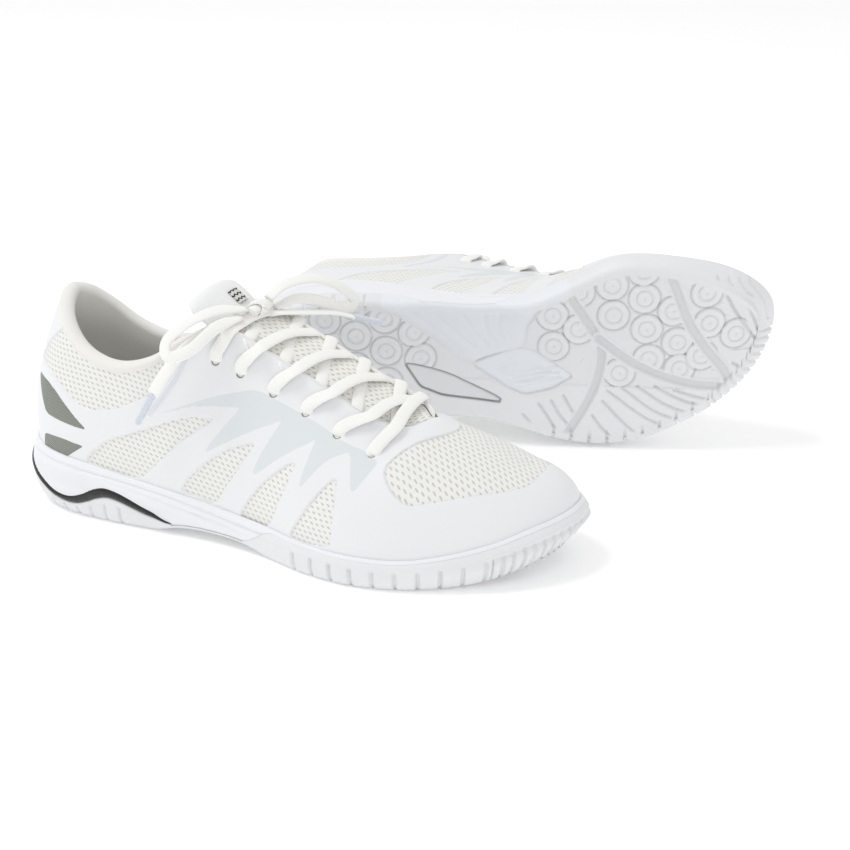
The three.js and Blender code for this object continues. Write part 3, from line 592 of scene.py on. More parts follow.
def mesh_cloth(name, base, hole, long=1.0, short=0.36, tilt=-24.0):
    p = Paint(name, base, 0.85)
    lay = p.vector("lay")
    a, b = p.cells(lay, 3.1, 2.5)
    dark = p.oval(a, b, long, short, tilt)
    u, v, _ = p.parts(lay)
    thread = p.math("MULTIPLY", p.waves(p.math("ADD", u, v), 0.75), p.waves(p.math("SUBTRACT", u, v), 0.75))
    shade = p.mix(p.between(thread, -1.0, 1.0), base, 0xE6E6E2)
    # Painted shade: the holes take the darker hole colour, standing in for the shaded layer seen through
    # them.
    p.tint(p.mix(dark, shade, hole))
    height = p.math("SUBTRACT", p.math("MULTIPLY", thread, 0.12), p.math("MULTIPLY", dark, 1.0))
    return p.bump(height, 0.16).material


def film_paint():
    p = Paint("film", 0xE8E9EB, 0.42)
    printed = p.between(p.value("print"), -0.25, 0.25)
    piping = p.between(p.value("piping"), -0.2, 0.2)
    hole = p.between(p.value("hole"), -0.15, 0.35)
    tone = p.mix(printed, 0xE8E9EB, 0xDAE0E2)
    tone = p.mix(piping, tone, 0xDDE0E5)
    # Painted shade: the eyelet holes are painted dark brown-grey for the shade inside them.
    p.tint(p.mix(hole, tone, 0x6F6656))
    p.rough(p.between(printed, 0.0, 1.0, 0.44, 0.34))
    grain = p.noise(p.here(), 1600.0)
    seam = p.math("MULTIPLY", p.math("ADD", printed, piping), 0.5)
    return p.bump(p.math("ADD", p.math("MULTIPLY", grain, 0.3), seam), 0.12, 0.6).material


def patch_paint():
    p = Paint("patch", 0x85877F, 0.5)
    a, b = p.cells(p.vector("lay"), 1.05, 0.55)
    dots = p.oval(a, b, 0.27, 0.27)
    p.tint(p.mix(dots, 0x6C6E67, 0xA3A59E))
    return p.bump(dots, 0.06).material


def foam_paint():
    p = Paint("foam", 0xE8EAEF, 0.55)
    fine = p.noise(p.here(), 2600.0)
    broad = p.noise(p.here(), 60.0)
    p.tint(p.mix(broad, 0xE8E9ED, 0xECEDF0))
    return p.bump(fine, 0.08, 0.5).material


def rubber_paint():
    p = Paint("rubber", 0xEDEDEC, 0.5)
    foam = p.between(p.value("foam"), -0.3, 0.3)
    broad = p.noise(p.here(), 45.0)
    tone = p.mix(foam, p.mix(broad, 0xE0E1E3, 0xE6E7E9), 0xE5E8EC)
    # Painted shade: the deeper the tread is sunk, the darker the rubber, except on the foam.
    sunk = p.between(p.value("deep"), 0.3, 1.6, 0.0, 0.4)
    sunk = p.math("MULTIPLY", sunk, p.math("SUBTRACT", 1.0, foam))
    tone = p.mix(sunk, tone, 0xC2C4C6)
    # Painted shade: a dark line along the narrow groove round the triangle.
    p.tint(p.mix(p.value("line"), tone, 0x6E6E6C))
    return p.bump(p.noise(p.here(), 2200.0), 0.07, 0.5).material


def dark_paint():
    p = Paint("dark_insert", 0x0F0E0D, 0.3, Coat_Weight=0.1)
    p.rough(p.between(p.noise(p.here(), 300.0), 0.3, 0.7, 0.26, 0.38))
    return p.bump(p.noise(p.here(), 900.0), 0.05, 0.4).material


def lining_paint():
    p = Paint("lining", 0xF3F2ED, 0.95, Sheen_Weight=0.1)
    u, v, _ = p.parts(p.vector("lay"))
    rib = p.math("MULTIPLY", p.waves(u, 1.3), p.waves(v, 1.0))
    fuzz = p.noise(p.here(), 900.0)
    p.tint(p.mix(p.between(rib, -1.0, 1.0), 0xE8E7E2, 0xEFEEEA))
    return p.bump(p.math("ADD", rib, fuzz), 0.05).material


def lace_paint():
    p = Paint("lace", 0xFAF9F5, 0.85, Sheen_Weight=0.1)
    u, v, _ = p.parts(p.vector("lay"))
    left = p.waves(p.math("ADD", p.math("MULTIPLY", u, 0.8), v), 1.5)
    right = p.waves(p.math("SUBTRACT", p.math("MULTIPLY", u, 0.8), v), 1.5)
    braid = p.math("MULTIPLY", left, right)
    p.tint(p.mix(p.between(braid, -1.0, 1.0), 0xEDECE8, 0xFAFAF8))
    return p.bump(braid, 0.04).material


def aglet_paint():
    p = Paint("aglet", 0xE4EBF5, 0.18, Transmission_Weight=0.35, Coat_Weight=0.5, IOR=1.45)
    p.tint(p.mix(p.noise(p.here(), 400.0), 0xDDE6F2, 0xEFF3F9))
    return p.bump(p.noise(p.here(), 700.0), 0.05, 0.4).material


def label_paint():
    p = Paint("label", 0x3A3A3A, 0.6)
    u, v, _ = p.parts(p.vector("lay"))
    rows = p.between(p.waves(p.math("ADD", v, p.math("MULTIPLY", p.waves(u, 3.0), 0.35)), 2.4), -0.6, -0.2)
    p.tint(p.mix(rows, 0x2E2E2E, 0xD9D9D6))
    return p.bump(rows, 0.1).material


def plain_cloth(name, base, pale):
    p = Paint(name, base, 0.9, Sheen_Weight=0.2)
    p.tint(p.mix(p.noise(p.here(), 500.0), base, pale))
    return p.bump(p.noise(p.here(), 1500.0), 0.15).material


# The second colour of each mesh cloth is the painted shade in its holes.
CLOTH = mesh_cloth("mesh", 0xF0F0EE, 0xCFCBC3)
TONGUE_CLOTH = mesh_cloth("tongue_mesh", 0xF6F5F0, 0xC9C3B4, 0.8, 0.42)
FILM = film_paint()
PATCH = patch_paint()
FOAM = foam_paint()
RUBBER = rubber_paint()
DARK = dark_paint()
LINING = lining_paint()
LACE = lace_paint()
AGLET = aglet_paint()
LABEL = label_paint()
TAB = plain_cloth("tab", 0xEBECEC, 0xF0F0F1)
BOARD = plain_cloth("board", 0xD8D4C8, 0xE2DED2)
INSOLE = plain_cloth("insole", 0xE6E5DF, 0xEEEDE8)


# ==== camera, light and floor ===================================================================
def stage():
    azimuth, elevation, roll = (math.radians(a) for a in (22.66, 21.09, 0.56))
    back = Vector((math.sin(azimuth) * math.cos(elevation), -math.cos(azimuth) * math.cos(elevation),
                   math.sin(elevation)))
    right = Vector((math.cos(azimuth), math.sin(azimuth), 0))
    up = back.cross(right)
    level_right = right * math.cos(roll) + up * math.sin(roll)
    level_up = up * math.cos(roll) - right * math.sin(roll)
    camera = bpy.data.objects.new("camera", bpy.data.cameras.new("camera"))
    bpy.context.scene.collection.objects.link(camera)
    matrix = Matrix((level_right, level_up, back)).transposed().to_4x4()
    matrix.translation = Vector((np.array([468.74, -610.39, 318.6]) + ORIGIN) / 1000)
    camera.matrix_world = matrix
    camera.data.lens = 64.36
    camera.data.sensor_width = 36
    camera.data.clip_start = 0.01
    bpy.context.scene.camera = camera

    floor_mesh = bpy.data.meshes.new("floor")
    reach = 30.0
    floor_mesh.from_pydata([(-reach, -reach, 0), (reach, -reach, 0), (reach, reach, 0), (-reach, reach, 0)],
                           [], [(0, 1, 2, 3)])
    floor = bpy.data.objects.new("floor", floor_mesh)
    bpy.context.scene.collection.objects.link(floor)
    pale = Paint("floor", 0xFAFAFA, 0.9)
    pale.tint(pale.mix(pale.noise(pale.here(), 3.0), 0xFAFAFA, 0xFCFCFC))
    pale.shader.inputs["Emission Color"].default_value = (1, 1, 1, 1)
    pale.shader.inputs["Emission Strength"].default_value = 0.16
    floor_mesh.materials.append(pale.material)

    def lamp(name, place_at, look_at, size, power):
        data = bpy.data.lights.new(name, "AREA")
        data.shape = "DISK"
        data.size = size
        data.energy = power
        light = bpy.data.objects.new(name, data)
        bpy.context.scene.collection.objects.link(light)
        light.location = place_at
        direction = Vector(look_at) - Vector(place_at)
        light.rotation_euler = direction.to_track_quat("-Z", "Y").to_euler()

    lamp("key", (-0.9, -0.5, 2.0), (0, 0, 0.03), 0.9, 14)
    lamp("fill", (1.6, -1.8, 0.9), (0, 0, 0.05), 1.6, 2)
    world = bpy.data.worlds.new("studio")
    world.use_nodes = True
    world.node_tree.nodes["Background"].inputs["Color"].default_value = (1, 1, 1, 1)
    world.node_tree.nodes["Background"].inputs["Strength"].default_value = 0.8
    bpy.context.scene.world = world
    bpy.context.scene.view_settings.view_transform = "Standard"


# ==== laces =====================================================================================
def ribbon(path, ups, width, thick, sides=14):
    """Rings of an oval section along a path, with the weave's place on each point."""
    ahead = unit(np.gradient(path, axis=0))
    across = unit(np.cross(ahead, ups))
    top = np.cross(across, ahead)
    angle = np.linspace(0, 2 * math.pi, sides, endpoint=False)
    flat = np.sign(np.cos(angle)) * np.abs(np.cos(angle)) ** 0.8 * width / 2
    high = np.sin(angle) * thick / 2
    rings = path[:, None] + across[:, None] * flat[None, :, None] + top[:, None] * high[None, :, None]
    lengths = np.r_[0, np.cumsum(np.linalg.norm(np.diff(path, axis=0), axis=1))]
    lay = np.stack(np.broadcast_arrays(lengths[:, None], flat[None, :], 0.0 * flat[None, :]), -1)
    return rings, lay


def close_rings(rings):
    """Faces of a tube of rings with both ends closed across by strips of quads."""
    count, sides = rings.shape[:2]
    j = np.arange(sides)
    k = (j + 1) % sides
    faces = []
    for i in range(count - 1):
        faces.append(np.stack([i * sides + j, i * sides + k, (i + 1) * sides + k, (i + 1) * sides + j], -1))
    half = sides // 2
    for base, turn in ((0, 1), ((count - 1) * sides, -1)):
        for i in range(half - 1):
            cap = np.array([[base + i, base + i + 1, base + sides - i - 2, base + sides - i - 1]])
            faces.append(cap[:, ::-turn])
    return np.concatenate(faces)


def tube(name, side, path, ups, width, thick, paint, replaces=()):
    rings, lay = ribbon(path, ups, width, thick)
    return build(name, side, rings, close_rings(rings)[:, ::-1], paint, {"lay": lay},
                 replaces=replaces)


EYELETS = [(0.382, 0.745), (0.439, 0.785), (0.489, 0.80), (0.537, 0.815), (0.585, 0.835)]
TOP_ROW = (0.622, 0.86)
HIGH_CROWN = 3.6
LOW_CROWN = 0.8


def strand(start, end, crown, lift):
    """From under the edge at one row, across the tongue and down into a hole of the next row."""
    (t0, _), (t1, v1) = start, end
    over = math.copysign(abs(t1) - 0.35 * (abs(t1) - abs(t0)), t1)
    emerge = layer(t0, 1.0, -1.2)
    edge = layer(over, 1.0, lift)
    points = [layer(t0, 0.93, -2.6), emerge]
    for share in (0.2, 0.4, 0.6, 0.8):
        p = emerge + (edge - emerge) * share
        p[2] += math.sin(math.pi * share) * crown
        points.append(p)
    points += [edge, layer((over + 2 * t1) / 3, (1 + v1) / 2, lift * 0.95)]
    points += [layer(t1, v1 + 0.03, lift * 0.8), layer(t1, v1 - 0.012, 0.2), layer(t1, v1 - 0.02, -2.4)]
    return np.array(points)


TONGUE_UP = unit(np.array([0.42, 0.0, 0.9]))


def side_up(path, end):
    """The flat faces up over the tongue and out from the side on the eyestay."""
    share = np.linspace(0, 1, len(path))
    weight = step(share, 0.55, 0.8)[:, None]
    return unit(TONGUE_UP * (1 - weight) + skin_out(end, 0.9) * weight)


def laced(side):
    rows = [(-t, v) for t, v in EYELETS]
    inner = [(t, v) for t, v in EYELETS]
    rows.append((-TOP_ROW[0], TOP_ROW[1]))
    inner.append(TOP_ROW)
    for number in range(5):
        runs = ((inner[number], rows[number + 1], HIGH_CROWN, 2.3, "high"),
                (rows[number], inner[number + 1], LOW_CROWN, 2.0, "low"))
        for start, end, crown, lift, level in runs:
            path = curve_through(strand(start, end, crown, lift), 8)
            replaced = {"high": ("lace_a",), "low": ("lace_b",)}[level] if number == 0 else ()
            tube(f"lace_{level}_{number + 1}", side, path, side_up(path, end[0]),
                 LACE_WIDTH, LACE_THICK, LACE, replaced)
    bar_ends = []
    for t, v in (rows[0], inner[0]):
        bar_ends.append([layer(t, v - 0.02, -2.4), layer(t, v - 0.012, 0.2), layer(t, v + 0.03, 1.6),
                         layer(t, (1 + v) / 2, 2.0), layer(t, 0.99, 2.2)])
    over = []
    for share in (0.25, 0.5, 0.75):
        p = bar_ends[0][-1] + (bar_ends[1][-1] - bar_ends[0][-1]) * share
        p[2] += math.sin(math.pi * share) * 2.4
        over.append(p)
    path = curve_through(np.array([*bar_ends[0], *over, *bar_ends[1][::-1]]), 7)
    share = np.linspace(-1, 1, len(path))[:, None]
    outer_n, inner_n = skin_out(rows[0][0], 0.9), skin_out(inner[0][0], 0.9)
    ups = unit(TONGUE_UP * (1 - np.abs(share)) + np.where(share < 0, outer_n, inner_n) * np.abs(share))
    tube("lace_bar", side, path, ups, LACE_WIDTH, LACE_THICK, LACE, ("lace_bar",))


BOW_UP = unit(np.array([0.3, 0.35, 0.88]))


def aglet(name, side, path):
    ahead = unit(path[-1] - path[-4])
    along = np.array([-1.0, 0.0, 0.4, 0.8, 8.0, 15.4, 16.2, 16.8])
    radius = np.array([0.55, 0.9, 1.0, 1.0, 1.0, 1.0, 0.85, 0.45]) * AGLET_DIAMETER / 2
    across = unit(np.cross(ahead, BOW_UP))
    top = np.cross(across, ahead)
    angle = np.linspace(0, 2 * math.pi, 16, endpoint=False)
    circle = across * np.cos(angle)[:, None] + top * np.sin(angle)[:, None]
    rings = path[-1] + ahead * along[:, None, None] + circle[None] * radius[:, None, None]
    return build(name, side, rings, close_rings(rings)[:, ::-1], AGLET,
                 {"lay": np.zeros(rings.shape)}, replaces=(name,))


def bow(side, routes):
    knot_parts(side)
    for name in ("loop_outer", "loop_inner", "tail_outer", "tail_inner"):
        path = curve_through(routes[name], 7)
        ahead = unit(np.gradient(path, axis=0))
        share = np.linspace(0, 1, len(path))[:, None]
        if name.startswith("loop"):
            away = step(np.minimum(share, 1 - share), 0.0, 0.22)
            turned = unit(path - path.mean(0)) + np.array([0.6, -1.5, 1.0]) * (side == "right")
            facing = BOW_UP * (1 - away) + turned * away
        elif name == "tail_outer" and side == "right":
            facing = BOW_UP * (1 - share) + np.array([0.1, -0.9, 0.42]) * share
        else:
            facing = np.broadcast_to(BOW_UP, path.shape)
        ups = unit(facing - ahead * (facing * ahead).sum(1)[:, None])
        width = LACE_WIDTH * (0.9 if name.startswith("loop") else 1.0)
        piece = tube(f"bow_{name}", side, path, ups, width, LACE_THICK, LACE, (f"bow_{name}",))
        tip = name.replace("tail", "aglet")
        with_pieces = [aglet(tip, side, path)] if name.startswith("tail") else []
        placed = place(path, side)


def knot_parts(side):
    """The knot: one turn of lace drawn tight round the two crossed strands."""
    centre = np.array([128.4, -1.2, 109.9])
    angle = np.linspace(0, 2 * math.pi, 40)
    turn = np.stack([3.6 * np.cos(angle), 0.9 * np.sin(2 * angle), 3.3 * np.sin(angle)], -1)
    path = centre + turn
    ups = unit(turn * [1, 0, 1])
    rings, lay = ribbon(path, ups, 7.4, 2.0)
    build("bow_knot", side, rings, close_rings(rings)[:, ::-1], LACE, {"lay": lay},
          replaces=("bow_knot",))
    stub = curve_through([(128, -9, 109.5), (128.5, -3, 110.2), (128.5, 1, 110.2), (128.5, 8, 110)], 6)
    ups = np.broadcast_to(BOW_UP, stub.shape)
    tube("bow_core", side, stub, ups, 5.6, 4.4, LACE)


# ==== the sole ==================================================================================
WAVE_TOP = [
    (0.655, 5.6), (0.672, 7.5), (0.693, 11.2), (0.712, 13.8), (0.731, 16.6), (0.754, 19.1), (0.773, 19.7),
    (0.792, 17.7), (0.812, 13.9), (0.836, 11.0), (0.865, 11.4), (0.893, 15.2), (0.93, 19.8), (0.965, 22.8),
    (1.0, 24.2), (1.05, 22.9), (1.08, 21.5),
]
WAVE_LOW = [
    (0.655, 5.5), (0.672, 6.3), (0.689, 7.7), (0.709, 9.2), (0.728, 11.3), (0.748, 13.4), (0.766, 14.3),
    (0.785, 12.8), (0.806, 9.6), (0.825, 7.4), (0.843, 6.9), (0.869, 8.2), (0.895, 11.5), (0.93, 15.7),
    (0.965, 19.2), (1.0, 21.3), (1.05, 21.5), (1.08, 21.4),
]


def wave_share(turn):
    """Share along the outer side that runs on past the heel on to the inner side."""
    t = wrap(turn)
    return np.where(t < 0, -t, np.where(t > 0.9, 2 - t, 0.6))


def rubber_top(turn):
    """Height of the rubber's upper edge on the side of the sole."""
    t = np.asarray(turn, float)
    x = plan(t)[..., 0]
    belt = ground(x) + arch_lift(x) + RUBBER_WRAP
    share = wave_share(t)
    heel = np.where(share > 0.64, smooth(WAVE_LOW, np.clip(share, 0.655, 1.08)), belt)
    back = np.where(wrap(t) > 0, belt + (21.4 - belt) * step(wrap(t), 0.86, 0.95), heel)
    waist = ground(x) + arch_lift(x) + 2.2
    front = waist + (smooth(BITE_LINE, x) - 0.7 - waist) * step(x, 134, 156)
    inner = waist + (back - waist) * step(-x, -104, -84)
    return np.where(x > 96, front, np.where(wrap(t) > 0, inner, heel))


# share of the side, height of the seam moulded along the foam
FOAM_SEAM = [
    (0.40, 15.5), (0.5, 13.0), (0.605, 17.0), (0.68, 21.3), (0.752, 24.4), (0.84, 26.4), (1.0, 27.5),
]


def midsole(side):
    turns = np.linspace(-1, 1, 801)
    bottom = rubber_top(turns)
    rim = layer(turns, bite_level(turns), RIM_OFF)
    x = plan(turns)[:, 0]
    floor = ground(x) + arch_lift(x)
    out = outward(turns)
    rows = [on_plan(turns, ground_off(turns) - 3, floor + 4.1),
            side_wall(turns, bottom - 2.0) - out * 2.2, side_wall(turns, bottom - 0.3) - out * 1.2]
    share = np.abs(wrap(turns))
    rise = rim[:, 2] - bottom
    for h in np.linspace(0, 1, 34):
        z = bottom + rise * h
        p = side_wall(turns, z)
        seam = smooth(FOAM_SEAM, share)
        crease = np.exp(-(((z - seam) / 0.7) ** 2)) * step(share, 0.44, 0.5) * 0.9
        crease2 = np.exp(-(((z - seam + 4.6 - 2 * step(share, 0.5, 0.8)) / 0.6) ** 2))
        crease2 = crease2 * step(share, 0.5, 0.56) * (1 - step(share, 0.70, 0.8)) * 0.5
        along = turns * SIDE_LENGTH
        ribs = np.sin((along + z * 0.7) * 2 * np.pi / 1.9) * 0.16
        ribs = ribs * step(share, 0.77, 0.8) * (1 - step(share, 0.9, 0.94))
        ribs = ribs * step(z, 15, 17) * (1 - step(z, 23, 25))
        edge = np.exp(-((h / 0.05) ** 2)) * 0.5
        p = p + out * (ribs - crease - crease2 - edge)[:, None]
        rows.append(p)
    level = bite_level(turns)
    for angle in np.linspace(0.25, 1, 5) * math.pi:
        off = GAP + 0.875 + 0.825 * math.cos(angle)
        p = layer(turns, level, off)
        p[:, 2] += 0.7 * math.sin(angle)
        rows.append(p)
    rows.append(layer(turns, level * 0.6, 0.3))
    grid = np.stack(rows, 1)
    faces = grid_faces(*grid.shape[:2])
    build("midsole", side, grid, faces, FOAM, replaces=("midsole",))


def heel_wave(side):
    share = np.linspace(0.657, 1.075, 260)
    turns = -share
    top, low = smooth(WAVE_TOP, share), smooth(WAVE_LOW, share)
    out = outward(turns)
    rows = []
    for h in np.linspace(-0.12, 1.0, 15):
        z = low + (top - low) * np.clip(h, 0, 1)
        round_off = math.sin(math.pi * min(max(h, 0.0), 1.0)) ** 0.5
        off = -0.7 + 1.5 * round_off * step(top - low, 0.1, 1.2)
        rows.append(side_wall(turns, z) + out * np.broadcast_to(off, turns.shape)[:, None])
    grid = np.stack(rows, 1)[::-1]
    build("heel_wave", side, grid, grid_faces(*grid.shape[:2]), DARK,
          replaces=("heel_wave",))


# plan outlines (x, y) of what the sole shows from below
MAIN_GROOVES = [
    [(176, 44), (178.2, 36.3), (184.4, 26.4), (191.8, 14.4), (194.8, 5.6), (192.2, -13.8),
     (185.2, -30.1), (174, -50)],
    [(193, 13), (209.8, -0.1), (224.6, -7.9), (245.6, -14.8), (262.2, -17.4), (274, -23)],
    [(231, 48), (233, 43), (241, 22.7), (251.2, 6.4), (261.3, -6.7), (267, -18)],
]
RING_STUDS = [
    (199.5, 43.7), (217, 36.2), (200.7, 26.5), (218.8, 18.5), (235.6, 10.6), (232.7, 28.8), (250.1, 38.8),
    (252.4, 21.3), (267.3, 13.9), (168, 26.4), (168.7, 8.4), (182.1, 18.4), (220.5, 0.8), (237.4, -5),
    (249, 2.2), (204.8, -7.6), (216, 52), (182, 40),
    (77.1, 5.7), (76.7, 24.9), (95.7, 0.3), (92.6, 16), (60.7, 14.6), (60, -4), (43.5, 5), (44, 24),
    (26.5, 14), (27, -5), (43, -14), (59, -23), (77, -13), (60.5, 33), (76, -31), (42, -32),
]
SMALL_STUDS = [
    (184.9, -0.7), (174.6, 26.7), (175.8, 33), (178.6, 10.3), (207.5, 18.3), (212.5, 26.7), (229.4, 19.3),
    (230.1, 2.2), (222.9, 9.6), (256.5, 12.7), (261.8, 24), (246.8, -8), (256.1, -8.1), (258.8, 31.6),
    (68.5, 15.5), (68.8, -4), (51.5, -5), (52, 14.6), (35, 5), (35, -14), (52, 30), (85, 11), (50.5, -24),
]
SIDE_RIBS = [
    [(152.5, -33.1), (159.5, -42), (168.3, -47.6)], [(161.1, -26.6), (165.3, -33.2), (169.6, -41)],
    [(167.8, -24.4), (172, -32.2), (176.3, -38.3)], [(174.5, -21.2), (179.7, -31.2)],
    [(190.6, -33.5), (195.9, -41.2), (204.4, -50)], [(196.3, -24.8), (209, -39.1), (220.6, -49)],
    [(198.6, -18.3), (219.8, -34.8), (236.7, -43)], [(206.8, -16.8), (226.3, -31.7), (246.3, -39)],
    [(214.8, -15.8), (233.8, -28.5), (254.7, -35)], [(224.5, -16), (242.3, -25.4), (261, -30)],
    [(235, -18), (250.7, -23.5), (267.3, -26)],
    [(266.6, -3.6), (273.7, -8.2), (285.1, -5.5)], [(275.9, 2.9), (285.1, -1.2), (289, -5.6)],
    [(256, 47), (266, 27.2), (278.1, 9.8)], [(262.5, 45), (274.2, 26.9), (280.7, 11.8)],
    [(268.5, 43), (279.3, 27.7), (283.5, 14.8)], [(274.5, 41), (283.4, 29.7), (286.4, 17.9)],
]
FOAM_ARCH = [
    (50, 70), (56, 44), (66, 37), (85.1, 26), (104.4, 10.6), (123.5, -4.6), (153.6, 8.7), (154.6, 19.7),
    (164, 32.4), (178, 38.5), (186, 70),
]
ARCH_RIBS = [
    [(104.4, 26.2), (115.7, 15.2), (125.6, 6.5)], [(119, 25.8), (125.8, 15), (132.8, 7.1)],
    [(130.6, 27.5), (131.7, 18.4), (135.8, 9.8)], [(139.8, 25.9), (138.9, 18.2), (141.5, 10.4)],
    [(92, 26.5), (104, 17), (116, 6.5)],
]
DIAMOND = [(123.1, -4), (154.5, 8.7), (180.3, -9.6), (168, -17.5), (154, -21), (143.2, -17.7)]
DIAMOND_CORE = [(136.4, -6.8), (152.7, 2.2), (168, -7), (160, -13), (150, -14.5)]
DIAMOND_RIBS = [
    [(145, -12.9), (157.3, -9.5), (172, -8.5)], [(146.5, -16.2), (160.8, -14.2), (173.7, -11.5)],
    [(148, -10), (158, -6.8), (170, -5)],
]
TRIANGLE = [(86.5, -1.3), (95.1, -17.5), (107.3, -23.4), (139.1, -27.3), (139.9, -24.5), (111.4, -9.9)]


def signed_plan(xy, outline):
    ring = softened(outline, 2, 0.1)
    return signed(xy, ring, xy, ring)


def groove(distance, width):
    return 1 - step(distance, width / 2 - 0.45, width / 2 + 0.45)


def tread(xy):
    """How far the sole's underside is sunk at each place, in mm, and where it is foam, as a distance."""
    x, y = xy[:, 0], xy[:, 1]
    sunk = np.zeros(len(xy))
    ribbed = (y < -15.5 - 0.04 * (x - 195)) & (x > 100)
    toe_end = signed_plan(xy, [(259, 60), (277, 8.5), (300, 14), (300, 60)])
    studded = step(toe_end, 1.0, -1.0) * ~ribbed * (1 - step(x, 262, 270) * (y < 4))
    studded = studded * (1 - step(-y, 24, 28) * (x > 100))
    sunk += 0.55 * studded
    for cx, cy in RING_STUDS:
        r = np.hypot(x - cx, y - cy)
        near = r < 11
        rn = r[near]
        disc = 1 - step(rn, 8.0, 8.6)
        keep = studded[near]
        value = sunk[near]
        value = np.where(rn < 9.4, value * (1 - disc), value)
        value += keep * 0.9 * np.exp(-(((rn - 8.6) / 0.55) ** 2))
        value += keep * 0.8 * np.exp(-(((rn - 4.4) / 0.5) ** 2))
        value += keep * 0.7 * np.exp(-((rn / 1.1) ** 2))
        sunk[near] = value
    for cx, cy in SMALL_STUDS:
        r = np.hypot(x - cx, y - cy)
        sunk -= 0.5 * (1 - step(r, 0.9, 1.5)) * studded
    for line in SIDE_RIBS:
        path = curve_through(line, 6)
        d = distance_to(xy, path, closed=False)
        sunk += 1.2 * groove(d, 1.4)
    for line in MAIN_GROOVES:
        path = curve_through(line, 8)
        d = distance_to(xy, path, closed=False)
        channel = 1 - step(d, 1.4, 3.0)
        bank = np.exp(-(((d - 3.4) / 0.7) ** 2))
        sunk = sunk * (1 - step(-d, -4.2, -3.0)) + 1.5 * channel - 0.25 * bank
    foam = signed_plan(xy, FOAM_ARCH)
    diamond = signed_plan(xy, DIAMOND)
    triangle = signed_plan(xy, TRIANGLE)
    either = np.maximum(np.maximum(foam, diamond), triangle)
    sunk = sunk * (1 - step(either, -1.2, 0.0))
    sunk += 1.6 * step(foam, -0.5, 0.6) + 1.3 * step(diamond, -0.4, 0.5) + 0.9 * step(triangle, -0.3, 0.3)
    sunk += 0.9 * np.exp(-((triangle / 0.7) ** 2)) + 0.9 * np.exp(-((diamond / 0.6) ** 2))
    for line in ARCH_RIBS:
        d = distance_to(xy, curve_through(line, 6), closed=False)
        sunk += 0.6 * np.exp(-((d / 1.1) ** 2)) * step(foam, 0, 2)
    core = signed_plan(xy, DIAMOND_CORE)
    sunk += 0.9 * step(core, -1.2, 1.2)
    for line in DIAMOND_RIBS:
        d = distance_to(xy, curve_through(line, 6), closed=False)
        sunk -= 0.9 * np.exp(-((d / 0.9) ** 2)) * step(diamond, 0, 2)
    # line marks the groove round the triangle, where the rubber paint draws painted shade.
    line = 0.9 * np.exp(-((triangle / 0.45) ** 2))
    return sunk, np.maximum(foam, diamond), line


def blocks(turn):
    """Notches between the tread's blocks along the side: 1 in a notch."""
    t = wrap(turn)
    share = np.abs(t)
    place_along = t * SIDE_LENGTH
    pitch = np.where(share > 0.16, 10.4, 5.2)
    cell = np.abs((place_along / pitch) % 1 - 0.5) * pitch
    front = 1 - step(cell, 0.45, 1.15)
    front = front * (1 - step(share, 0.46, 0.48)) * (t < 0)
    cell = np.abs((place_along / 8.6) % 1 - 0.5) * 8.6
    heel = (1 - step(cell, 0.4, 1.0)) * step(share, 0.72, 0.74) * (1 - step(share, 0.9, 0.92)) * 0.8
    return np.maximum(front, heel)


def sole_floor(x):
    """Height of the underside: the arch is lifted only between the heel and the ball."""
    return ground(x) + arch_lift(x) * step(120 - np.abs(x - 118), 84, 92)


